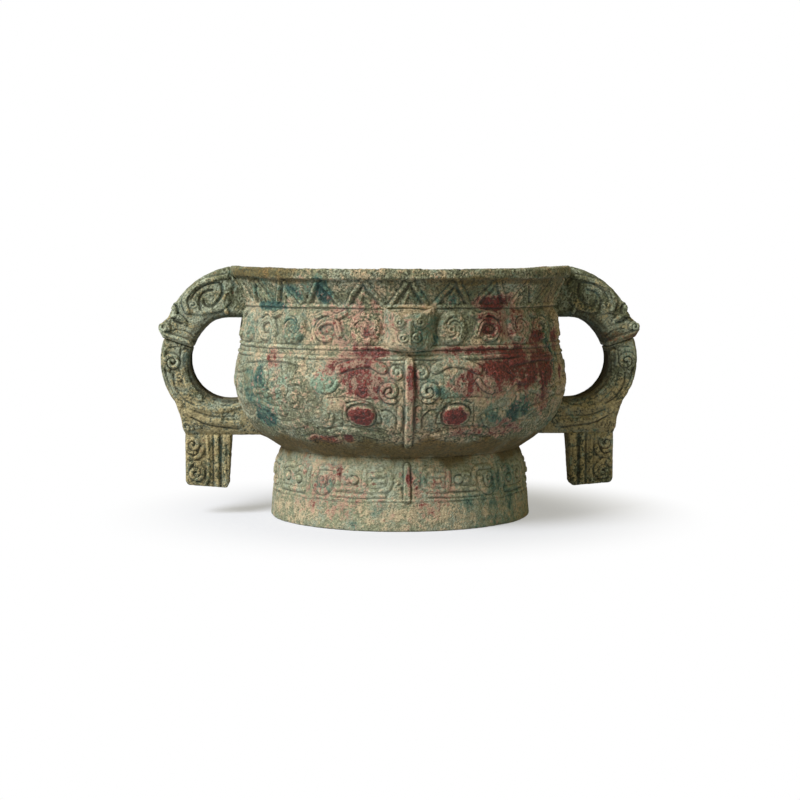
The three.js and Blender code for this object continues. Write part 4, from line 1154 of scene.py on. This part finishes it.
# %% Spin the lining
FLOOR_TOP = FOOT_TOP + 1.6
FLOOR_UNDER = FOOT_TOP - 1.4
LINING_GAP = 3
inside_line = curve(
    [(52, FLOOR_TOP + 1.5), (68, FLOOR_TOP + 2.6), (79.6, FLOOR_TOP + 5.2)]
    + [(wall_radius(height) - LINING_GAP, height) for height in (54, 61, 70, 80, 90, 100, 112, 124, 134, 143)]
    + [(LIP_RADIUS - 3.6, LIP_HEIGHT - 2.2)],
    6,
)
outside_line = [(wall_radius(height) - SKIN - 0.1, height) for height in np.arange(149, FOOT_TOP + 1, -4)]
lining_section = np.vstack(
    (
        [(0, FLOOR_UNDER), (40, FLOOR_UNDER), (67, FLOOR_UNDER - 0.4), (67.7, FOOT_TOP - 4), (70.6, FOOT_TOP - 4)],
        [(70.6, FOOT_TOP - 0.3)],
        outside_line[::-1],
        inside_line[::-1],
        [(40, FLOOR_TOP + 0.8), (20, FLOOR_TOP + 0.2), (0, FLOOR_TOP)],
    )
)


def spin_round(section, steps):
    """Spins an open section whose ends lie on the axis into a closed body."""
    body = bmesh.new()
    verts = [body.verts.new((0, -radius, height)) for radius, height in section]
    edges = [body.edges.new(pair) for pair in zip(verts, verts[1:])]
    bmesh.ops.spin(
        body,
        geom=verts + edges,
        cent=(0, 0, 0),
        axis=(0, 0, 1),
        angle=2 * math.pi,
        steps=steps,
        use_merge=True,
        use_normal_flip=False,
        use_duplicate=False,
    )
    bmesh.ops.remove_doubles(body, verts=body.verts, dist=1e-5)
    bmesh.ops.recalc_face_normals(body, faces=body.faces)
    mesh = bpy.data.meshes.new("turned")
    body.to_mesh(mesh)
    body.free()
    return mesh


lining = spin_round(lining_section, 360)
lining_points = lift_lip(mesh_points(lining))
lining.vertices.foreach_set("co", lining_points.ravel())
lining.update()
PAINT_TURN = math.radians(140)
across, along, up = lining_points.T
paint_places = np.column_stack(
    (
        across * math.cos(PAINT_TURN) - along * math.sin(PAINT_TURN),
        across * math.sin(PAINT_TURN) + along * math.cos(PAINT_TURN),
        86 + 0.4 * (up - FLOOR_TOP),
    )
)
finish_piece(
    lining,
    "bowl_lining",
    ["bowl"],
    inside_bronze,
    np.zeros(len(lining_points)),
    paint_places=paint_places,
)

# %% [markdown]
# ## The ring foot
#
# The foot carries kui dragons, squared and hooked, head to tail between the ridges. A raised line closes
# the band, and the plain rim below it is scarred by the mould's joints. It is spun in quarters too.

# %% Ornament of the foot
FOOT_BANDS = [
    (2.4, [(15.4, 36.4), (11, 34.2), (9.6, 30), (11.2, 25.4), (17, 23.4), (23.8, 23.8)]),
    (2.0, [(13.6, 29.6), (19.4, 29.4)]),
    (2.2, [(14, 33.4), (22.6, 33)]),
    (2.4, [(25.3, 35.2), (25.2, 25.6)]),
    (2.3, [(25.3, 24.6), (33, 24.6), (42.6, 24.4)]),
    (2.0, [(13.6, 21.2), (28, 20.6), (45, 20.6)]),
    (2.3, [(56, 36), (47, 36.2), (43, 33.6), (42.4, 27.4)]),
    (3.0, [(58, 32.6), (59.6, 27.6), (57, 22.8), (52.2, 21.8), (47.8, 25), (47.2, 29.6)]),
    (2.2, [(64.6, 35.4), (65.4, 29.6), (65, 23.6)]),
    (2.0, [(69, 33), (74, 34.8), (78.4, 32)]),
    (2.3, [(69, 21.6), (80, 21.2), (92, 21.4)]),
    (2.4, [(81, 35.4), (89, 35.2), (93.6, 31.6), (92.6, 26.4)]),
    (2.6, [(98.4, 35), (98.6, 24)]),
    (2.3, [(104, 34.6), (114, 35.2), (122, 34.6)]),
    (2.3, [(104, 22.4), (114, 21.8), (122, 22.4)]),
]
FOOT_EYES = [(31.6, 29.8), (74, 28), (86, 28.6), (112, 28.4)]
FOOT_CURLS = [(36.6, 30.4), (53, 28.8), (4.8, 28), (118.6, 29)]
FOOT_EDGE = 1.2


def foot_relief(points):
    up = points[:, 2]
    board = wavering(points, unroll(points, 79), up)
    for width, points in FOOT_BANDS:
        board.band(curve(points), width, 0.7, 0.9, 0.4)
    for eye in FOOT_EYES:
        board.boss(eye, 2.6, 2.3, 1.7)
        board.groove(ring(eye, 3.1, 2.8), 0.8, 0.5)
    for centre in FOOT_CURLS:
        board.band(spiral(centre, 3.2, 1.1, 40, 1, 0.25), 1.6, 1.0, 0.5)
    board.band(np.array([(0, 18.6), (0, 38)]), 3.6, 2.0, 0.5, 0.5)
    board.cord(np.array([(-4, 18.2), (170, 18.2)], float), 1.8, 0.7)
    board.groove(np.array([(-4, 16.9), (170, 16.9)], float), 0.9, 0.35)
    board.groove(np.array([(-4, 38.6), (170, 38.6)], float), 1.1, 0.3)
    return board.total() * smooth_step(2, 5, up) * smooth_step(FOOT_TOP - 0.6, FOOT_TOP - 3, up)


print(len(FOOT_BANDS), "bands,", len(FOOT_EYES), "eyes and", len(FOOT_CURLS), "curls in a field of the foot")

# %% The four quarters of the foot
FOOT_WALL = 3.8
FOOT_STEPS = 260
foot_outer = np.vstack(
    (
        curve([(FOOT_RADIUS - FOOT_EDGE, 0), (FOOT_RADIUS - 0.2, 0.5), (FOOT_RADIUS, 1.6)], 3),
        spaced([(FOOT_RADIUS - 0.02, 2.1), (80.3, 16.9), (79.9, 17.4)], FINE),
        spaced(foot_curve, FINE),
    )
)
foot_inner = [(np.interp(z, foot_curve[:, 1], foot_curve[:, 0]) - FOOT_WALL, z) for z in (43, 40, 36, 31, 26, 21, 17)]
foot_section = np.vstack((foot_outer, foot_inner, [(FOOT_RADIUS - FOOT_WALL - 0.4, 8), (FOOT_RADIUS - FOOT_WALL, 0)]))
foot_normals = section_normals(foot_section)


foot_quarter = spin_section(foot_section, FOOT_STEPS)


def build_foot(index):
    mesh = turned_copy(foot_quarter, index)
    points = mesh_points(mesh)
    rows = rows_of(mesh)
    direction = turned_out(points, rows, foot_normals)
    outside = rows < len(foot_outer)
    relief = np.zeros(len(points))
    relief[outside] = foot_relief(points[outside])
    return finish_piece(mesh, f"foot_wall_{index + 1}", ["ring_foot"], foot_bronze, relief, direction)


for quarter in range(4):
    build_foot(quarter)

# %% [markdown]
# ## Handles on an even mesh
#
# The handles are free shapes, so a lathe can't make them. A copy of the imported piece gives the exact
# form. Its sides are made flat, an even mesh of small faces is laid over it, as if it were modelled anew
# in fine wax, and the arrises are softened. Then the relief is cut into both sides, from one drawing
# that serves the left and the right handle. The photograph doesn't show the outer edges. They get the
# plain rails and chevrons that run down the spine of many such handles.

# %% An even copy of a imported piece


def even_copy(node, voxel, soften, low_y, high_y):
    """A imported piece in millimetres, held between two planes across Y, on an even fine mesh."""
    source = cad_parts[node]
    body = bmesh.new()
    body.from_mesh(source.data)
    bmesh.ops.transform(body, matrix=Matrix.Scale(1 / MM, 4) @ source.matrix_world, verts=body.verts)
    bmesh.ops.remove_doubles(body, verts=body.verts, dist=0.002)
    for vert in body.verts:
        vert.co.y = min(max(vert.co.y, low_y), high_y)
    coarse = bpy.data.meshes.new(f"{node}_coarse")
    body.to_mesh(coarse)
    body.free()
    holder = bpy.data.objects.new(f"{node}_coarse", coarse)
    bpy.context.scene.collection.objects.link(holder)
    even = holder.modifiers.new("even", "REMESH")
    even.mode = "VOXEL"
    even.voxel_size = voxel
    smooth = holder.modifiers.new("soften", "SMOOTH")
    smooth.iterations = soften
    smooth.factor = 0.5
    graph = bpy.context.evaluated_depsgraph_get()
    mesh = bpy.data.meshes.new_from_object(holder.evaluated_get(graph))
    bpy.data.objects.remove(holder)
    bpy.data.meshes.remove(coarse)
    return mesh


def side_direction(normals, axis=1):
    """Straight out of a piece's flat sides, and nothing on its edges."""
    direction = np.zeros_like(normals)
    lean = normals[:, axis]
    direction[:, axis] = np.sign(lean) * smooth_step(0.45, 0.85, np.abs(lean))
    return direction


def root_into_wall(points):
    """Draws what lies next to the wall into it, so that cast-on work leaves no gap, but not through it."""
    reach = np.hypot(points[:, 0], points[:, 1])
    away = reach - wall_radius(points[:, 2])
    rooted = away - 2.5 * (1 - smooth_step(2.2, 5.0, away))
    rooted = np.maximum(rooted, np.minimum(away, -1.9))
    points[:, :2] *= (1 + (rooted - away) / reach)[:, None]
    return points


print("even copies ready")

# %% Ornament of the handle heads
HEAD_PLATE = [
    (132, 127),
    (133.9, 134.9),
    (129.6, 141.5),
    (123.8, 145.4),
    (115.1, 148.3),
    (108, 149.5),
    (104.5, 145),
    (104.5, 134),
    (109.3, 128.5),
    (116, 126.5),
    (123, 125.5),
    (132, 127),
]
HEAD_BANDS = [
    (3.0, 2.9, [(131.6, 128), (133.4, 134.9), (129.4, 141), (123.8, 144.9), (115.1, 147.7), (108, 149)]),
    (3.6, 2.6, [(150, 114.8), (146.5, 112.9), (138, 110.2), (130.5, 107.6)]),
    (2.6, 2.4, [(133.5, 121), (138, 124.6), (144, 124.6), (148.5, 121)]),
    (2.4, 2.2, [(107.5, 127), (109.8, 133), (108, 139)]),
]
HEAD_LINES = [
    (1.7, 1.4, [(110.8, 144.4), (110.3, 138.6), (113.1, 133.9), (117, 131), (120.4, 131.4), (121.8, 133.9)]),
    (1.5, 1.2, [(116.4, 140.8), (121.8, 139.1), (124.4, 134.9), (123.8, 129)]),
    (1.1, 0.8, [(106.4, 138.6), (105, 133.9), (109.3, 129), (115.1, 127.1), (121.8, 126.1)]),
    (1.1, 0.8, [(112, 145.6), (119.4, 144.2), (126, 140.4), (129.4, 135.6)]),
    (1.3, 1.0, [(140.6, 122), (136.4, 120.4), (132.4, 121.3)]),
    (1.0, 0.7, [(128, 112), (133, 115.6), (139.5, 116.4)]),
]


def head_relief(points):
    board = wavering(points, np.abs(points[:, 0]), points[:, 2], 0.4)
    board.shape(np.array(HEAD_PLATE), 1.5, 0.8)
    for width, proud, points in HEAD_BANDS:
        board.band(curve(points), width, proud, 0.8)
    for width, depth, points in HEAD_LINES:
        board.groove(curve(points), width, depth)
    board.boss((141, 127.9), 2.8, 3.7, 2.2)
    board.groove(ring((141, 127.9), 3.6, 4.5), 1.0, 0.9)
    board.band(spiral((128.4, 131.6), 2.4, 1.1, 90, 1, 0.3), 1.4, 2.2, 0.4)
    board.band(spiral((146.5, 117.8), 3.2, 1.2, 200, -1, 0.3), 1.9, 2.0, 0.5)
    return board.total()


print(len(HEAD_BANDS) + len(HEAD_LINES), "strokes on a head")

# %% Ornament of the loops and pendants
LOOP_MIDDLE = (106.6, 99)
LOOP_HOLE = 24.2
LOOP_BANDS = [
    (4.0, 1.3, [(147.4, 104), (148.6, 96), (147.6, 87), (143.8, 78.6), (137.6, 70.6)]),
    (4.4, 1.2, [(133.5, 101.5), (134.6, 95), (134, 88), (131, 80.6), (125.4, 74.4)]),
    (3.4, 1.3, [(133, 66), (124, 61), (112, 58.5), (101, 58)]),
    (3.0, 1.1, [(126.7, 69.2), (118, 66.5), (108, 67), (100, 70)]),
]
LOOP_LINES = [
    (1.2, 0.9, [(146.3, 97), (145.5, 88), (142, 79), (136, 71.5)]),
    (1.2, 0.9, [(141.1, 88.5), (140.2, 81.8), (136.3, 75), (131.5, 71.1), (126.7, 69.2)]),
    (1.1, 0.7, [(130, 62), (120, 57), (101, 54.5)]),
    (1.1, 0.7, [(128, 66), (118, 62.6), (104, 62.4)]),
    (1.0, 0.6, [(131, 104), (136, 105.6), (143, 105)]),
]
LOOP_SCROLLS = [((141.6, 96.2), 5.2, 300, 1, 1.5, 2.2, 1.9), ((137.5, 87), 2.4, 90, -1, 1.1, 1.5, 1.3)]
CLAW_SCROLLS = [((133.4, 55.6), 3.4, 200, -1, 1.2, 1.9, 1.4), ((127, 56.4), 2.6, 20, 1, 1.1, 1.6, 1.2)]
PENDANT_BANDS = [
    (1.8, 1.3, [(120.8, 50), (120.8, 21.4), (129, 20.8)]),
    (2.4, 1.0, [(115, 50), (115, 19)]),
    (4.4, 1.2, [(108.6, 50), (108.6, 18)]),
    (2.6, 1.5, [(123.8, 42), (125.4, 38.4), (129, 36), (131.6, 36.8)]),
    (2.4, 1.4, [(126, 32.4), (129.6, 33.4), (132.6, 31)]),
]
PENDANT_LINES = [
    (1.6, 1.3, [(112.6, 52), (112.6, 15)]),
    (1.1, 0.8, [(117.2, 50), (117.2, 18)]),
    (0.9, 0.5, [(108.4, 44), (108.4, 20)]),
]
PENDANT_SCROLLS = [
    ((129.6, 44.6), 5.0, 260, 1, 1.4, 2.4, 1.6),
    ((127.8, 26.6), 5.0, 90, 1, 1.5, 2.3, 1.6),
]


def strokes(board, bands, lines, scrolls):
    for width, proud, points in bands:
        board.band(curve(points), width, proud, 0.7)
    for centre, radius, start, hand, turns, width, proud in scrolls:
        board.band(spiral(centre, radius, turns, start, hand, 0.22), width, proud, 0.5)
    for width, depth, points in lines:
        board.groove(curve(points), width, depth)
    return board.total()


def loop_relief(points):
    board = wavering(points, np.abs(points[:, 0]), points[:, 2], 0.4)
    board.groove(ring(LOOP_MIDDLE, LOOP_HOLE + 2.2), 5.4, 1.4)
    board.groove(ring(LOOP_MIDDLE, LOOP_HOLE + 5.6), 1.2, 0.8)
    return strokes(board, LOOP_BANDS, LOOP_LINES, LOOP_SCROLLS + CLAW_SCROLLS)


def pendant_relief(points):
    board = wavering(points, np.abs(points[:, 0]), points[:, 2], 0.4)
    return strokes(board, PENDANT_BANDS, PENDANT_LINES, PENDANT_SCROLLS)


print(len(LOOP_BANDS) + len(PENDANT_BANDS), "bands on a loop and its pendant")

# %% Sculpt the handles
HANDLE_PARTS = {
    "handle_head": (13.7, head_relief),
    "handle_loop": (12.4, loop_relief),
    "pendant": (8.5, pendant_relief),
}
HANDLE_VOXEL = 0.45
HANDLE_SOFTEN = {"handle_head": 14, "handle_loop": 22, "pendant": 12}
PENDANT_TOP = cad_size("right_handle_loop")[0].z


def round_corners(points, radius):
    """Rounds the two lower corners of a hanging plate, whose lower edge may slope, seen from the front."""
    reach = np.abs(points[:, 0])
    column = np.round(reach).astype(int)
    bottoms = np.full(column.max() + 1, np.inf)
    np.minimum.at(bottoms, column, points[:, 2])
    lowest = reach[points[:, 2] < points[:, 2].min() + 2 * radius]
    middle = (lowest.min() + lowest.max()) / 2
    half = (lowest.max() - lowest.min()) / 2
    across = np.clip(np.abs(reach - middle) - (half - radius), 0, None)
    down = np.clip(bottoms[column] + radius - points[:, 2], 0, None)
    squeeze = 1 - np.maximum(across, down) / np.maximum(np.hypot(across, down), 1e-6)
    points[:, 0] -= np.sign(points[:, 0]) * np.sign(reach - middle) * across * squeeze
    points[:, 2] += down * squeeze
    return points


def spine_relief(points):
    """Two rails and a row of chevrons down the outer edge, which shows from the side."""
    aside = np.abs(points[:, 1])
    chevrons = 0.8 * smooth_step(1.7, 0.9, np.abs((points[:, 2] + 0.7 * aside) % 8 - 4))
    rails = smooth_step(1.4, 0.7, np.abs(aside - 6.4))
    return np.maximum(chevrons * smooth_step(5.8, 5.0, aside), rails) - 1.0


def sculpt_handle_part(side, kind):
    half_depth, drawing = HANDLE_PARTS[kind]
    node = f"{side}_{kind}"
    mesh = even_copy(node, HANDLE_VOXEL, HANDLE_SOFTEN[kind], -half_depth, half_depth)
    points = root_into_wall(mesh_points(mesh))
    if kind == "handle_head":
        near_wall = smooth_step(132, 114, np.abs(points[:, 0]))
        points[:, 2] += 2.6 * near_wall * smooth_step(136, 124, points[:, 2])
    if kind == "pendant":
        points[:, 1] *= 1 + 0.12 * smooth_step(PENDANT_TOP - 16, PENDANT_TOP - 1, points[:, 2])
        points[:, 2] += 0.9 * smooth_step(PENDANT_TOP - 3, PENDANT_TOP - 0.5, points[:, 2])
        points = round_corners(points, 2.8)
    if kind == "handle_loop":
        reach = np.abs(points[:, 0])
        over = points[:, 2] - PENDANT_TOP
        limit = 134.3 + 0.4 * np.clip(over, 0, None) + 0.2 * np.clip(over - 11, 0, None)
        points[:, 0] *= np.minimum(reach, np.maximum(limit, 100)) / reach
        points[:, 1] *= 1 - 0.2 * smooth_step(11, 0, over)
    mesh.vertices.foreach_set("co", points.ravel())
    normals = mesh_normals(mesh)
    edge = side_direction(normals, axis=0)
    edge[edge[:, 0] * points[:, 0] < 0] = 0
    on_edge = np.abs(edge[:, 0])
    relief = drawing(points) * (1 - on_edge) + spine_relief(points) * on_edge
    direction = side_direction(normals) + edge
    name = f"{node}_skin"
    # Painted shade in a band round the hole of the loop.
    hole = np.hypot(np.abs(points[:, 0]) - LOOP_MIDDLE[0], points[:, 2] - LOOP_MIDDLE[1])
    painted_shade = 0.34 * smooth_step(LOOP_HOLE + 7, LOOP_HOLE + 3, hole)
    return finish_piece(
        mesh, name, [node], handle_bronze, relief, direction, sculpted=True, painted_shade=painted_shade
    )


for side in ("right", "left"):
    for kind in HANDLE_PARTS:
        sculpt_handle_part(side, kind)

# %% [markdown]
# ## The small beast heads
#
# A little beast looks out from the neck above each ridge. Its face is a wedge: two planes that meet in a
# keel, so that one side catches the light and the other turns away. Upright ears with a curl in each
# stand over ringed eyes.

# %% Sculpt the small heads
CREST_DROP = 118.5
CREST_VOXEL = 0.36


def crest_relief(points):
    """The face, drawn round x = 0 with heights from the middle of the head."""
    board = wavering(points, points[:, 0], points[:, 2] - CREST_DROP, 0.7)
    for hand in (-1, 1):
        board.band(spiral((hand * 6, 5.2), 3, 1.3, 90, hand, 0.25), 1.3, 1.2, 0.4)
        board.groove(ring((hand * 6, 5.2), 4.2, 4.8), 0.8, 0.6)
        board.band(ring((hand * 3.9, -3.6), 2.2, 1.9), 1.2, 1.0, 0.4)
        board.boss((hand * 3.9, -3.6), 1.1, 1.0, 1.2)
        board.groove(ring((hand * 3.9, -3.6), 3.3, 3.0), 0.8, 0.45)
        board.groove(curve([(hand * 1.4, 10), (hand * 1.7, 2), (hand * 1.2, -8)]), 0.8, 0.4)
        board.groove(curve([(hand * 1, -9.4), (hand * 4.5, -9.6), (hand * 8, -7.4)]), 0.9, 0.5)
        board.groove(curve([(hand * 10.6, 9), (hand * 10.4, 0), (hand * 8.6, -7)]), 0.9, 0.5)
    return board.total()


def sculpt_crest(node, facing):
    low, high = cad_size(node)
    front = min(abs(low.y), abs(high.y)) + 10.6
    limits = (-front, 0) if facing < 0 else (0, front)
    mesh = even_copy(node, CREST_VOXEL, 3, *limits)
    points = root_into_wall(mesh_points(mesh))
    reach = np.abs(points[:, 0])
    ahead = np.clip((np.abs(points[:, 1]) - front + 8) / 8, 0, 1)
    forward = smooth_step(0.3, 0.8, ahead)
    keel = np.clip(1 - reach / 12.5, 0, 1)
    chin = smooth_step(CREST_DROP - 14, CREST_DROP - 6, points[:, 2])
    points[:, 1] += facing * forward * (3.6 * keel * chin - 3.0 * (1 - keel) - 1.6 * (1 - chin))
    points[:, 0] *= 1 + 0.34 * (1 - smooth_step(low.z, CREST_DROP, points[:, 2]))
    points[:, 0] *= 1 + 0.2 * (1 - ahead) * smooth_step(6, 11, reach)
    brow = smooth_step(high.z - 9, high.z - 0.5, points[:, 2]) * ahead
    points[:, 2] -= 6.4 * brow * np.clip(1 - reach / 12, 0, 1) + 0.6 * brow
    mesh.vertices.foreach_set("co", points.ravel())
    mesh.update()
    relief = crest_relief(points)
    direction = side_direction(mesh_normals(mesh))
    direction[direction[:, 1] * facing < 0] = 0
    name = f"{node}_skin"
    return finish_piece(mesh, name, [node], wall_bronze, relief, direction, sculpted=True)


sculpt_crest("front_beast_head", -1)
sculpt_crest("rear_beast_head", 1)

# %% [markdown]
# ## Chaplets and clay
#
# Two materials are left: the brown bronze of the chaplets in the floor, and the burnt clay that stays
# inside the handles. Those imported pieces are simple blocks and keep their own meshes.

# %% Materials for the pieces that stay as packed


def plain(name, base, spot, scale, rough):
    """A matt material that mottles between two colours."""
    material = bpy.data.materials.new(name)
    material.use_nodes = True
    tree = material.node_tree
    shader = tree.nodes["Principled BSDF"]
    place = add_node(tree, "ShaderNodeTexCoord").outputs["Object"]
    field = noise(tree, place, scale, 5, 0.7)
    tree.links.new(mix(tree, threshold(tree, field, 0.35, 0.65), base, spot), shader.inputs["Base Color"])
    shader.inputs["Roughness"].default_value = rough
    bump = add_node(tree, "ShaderNodeBump", {"Height": noise(tree, place, scale * 4, 4, 0.7), "Distance": 0.0006})
    tree.links.new(bump.outputs["Normal"], shader.inputs["Normal"])
    return material


chaplet_bronze = plain("chaplet_bronze", colour(104, 84, 58), colour(72, 78, 58), 220, 0.7)
core_clay = plain("core_clay", colour(58, 50, 38), colour(84, 74, 56), 260, 0.95)
for node, material in [(f"floor_chaplet_{i}", chaplet_bronze) for i in range(1, 5)] + [
    (f"{side}_handle_core", core_clay) for side in ("right", "left")
]:
    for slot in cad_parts[node].material_slots:
        slot.material = material
print("materials", len(bpy.data.materials))

# %% [markdown]
# ## Table and light
#
# One large soft lamp stands to the left and a little in front, above the vessel, as in the photograph:
# the left of the belly and the left handle are pale, the right side falls into shade, and the shadow
# lies to the right. The world gives a weak even fill. The camera sees a white backdrop. The table is
# white to the camera where light falls on it and darkens only in the shadow.

# %% The table
TABLE_HALF = 6
table_mesh = bpy.data.meshes.new("table")
plane = bmesh.new()
bmesh.ops.create_grid(plane, x_segments=1, y_segments=1, size=TABLE_HALF)
plane.to_mesh(table_mesh)
plane.free()
table = bpy.data.objects.new("table", table_mesh)
bpy.context.scene.collection.objects.link(table)

table_white = bpy.data.materials.new("table_white")
table_white.use_nodes = True
tree = table_white.node_tree
tree.nodes.remove(tree.nodes["Principled BSDF"])
matt = add_node(tree, "ShaderNodeBsdfDiffuse", {"Color": (0.48, 0.5, 0.57, 1)})
glow = add_node(tree, "ShaderNodeEmission", {"Color": (1, 1, 1, 1), "Strength": 1.0})
seen = add_node(tree, "ShaderNodeLightPath").outputs["Is Camera Ray"]
place = add_node(tree, "ShaderNodeTexCoord").outputs["Object"]
away = add_node(tree, "ShaderNodeVectorMath", {0: place}, operation="LENGTH").outputs["Value"]
far = threshold(tree, away, 0.09, 0.2)
weak_glow = add_node(tree, "ShaderNodeEmission", {"Color": (1, 1, 1, 1)})
tree.links.new(maths(tree, "MULTIPLY", seen, 0.38), weak_glow.inputs["Strength"])
near_table = add_node(tree, "ShaderNodeAddShader", {0: matt.outputs[0], 1: weak_glow.outputs[0]})
share = maths(tree, "MULTIPLY", seen, far)
table_mix = add_node(tree, "ShaderNodeMixShader", {0: share, 1: near_table.outputs[0], 2: glow.outputs[0]})
tree.links.new(table_mix.outputs[0], tree.nodes["Material Output"].inputs["Surface"])
table_mesh.materials.append(table_white)
print("table", 2 * TABLE_HALF, "m wide")

# %% The lights


def area_light(name, place, target, width, height, power, tint=(1, 1, 1)):
    data = bpy.data.lights.new(name, "AREA")
    data.shape = "RECTANGLE"
    data.size = width
    data.size_y = height
    data.energy = power
    data.color = tint
    lamp = bpy.data.objects.new(name, data)
    bpy.context.scene.collection.objects.link(lamp)
    lamp.location = place
    lamp.rotation_euler = (Vector(target) - Vector(place)).to_track_quat("-Z", "Y").to_euler()
    return lamp


key = area_light("key", (-0.98, -0.8, 1.12), (0, 0, 0.08), 0.8, 0.8, 30, (1, 1, 1))
world = bpy.data.worlds.new("studio")
world.use_nodes = True
bpy.context.scene.world = world
tree = world.node_tree
rays = add_node(tree, "ShaderNodeLightPath").outputs
bare = maths(tree, "MAXIMUM", rays["Is Camera Ray"], rays["Is Transmission Ray"])
strength = add_node(tree, "ShaderNodeMapRange", {"Value": bare, "To Min": 0.32, "To Max": 1.0}).outputs["Result"]
tree.links.new(strength, tree.nodes["Background"].inputs["Strength"])
fill = mix(tree, bare, (1, 0.88, 0.48, 1), (1, 1, 1, 1))
tree.links.new(fill, tree.nodes["Background"].inputs["Color"])
bpy.context.scene.view_settings.view_transform = "Standard"
print("key light", key.data.energy, "W")
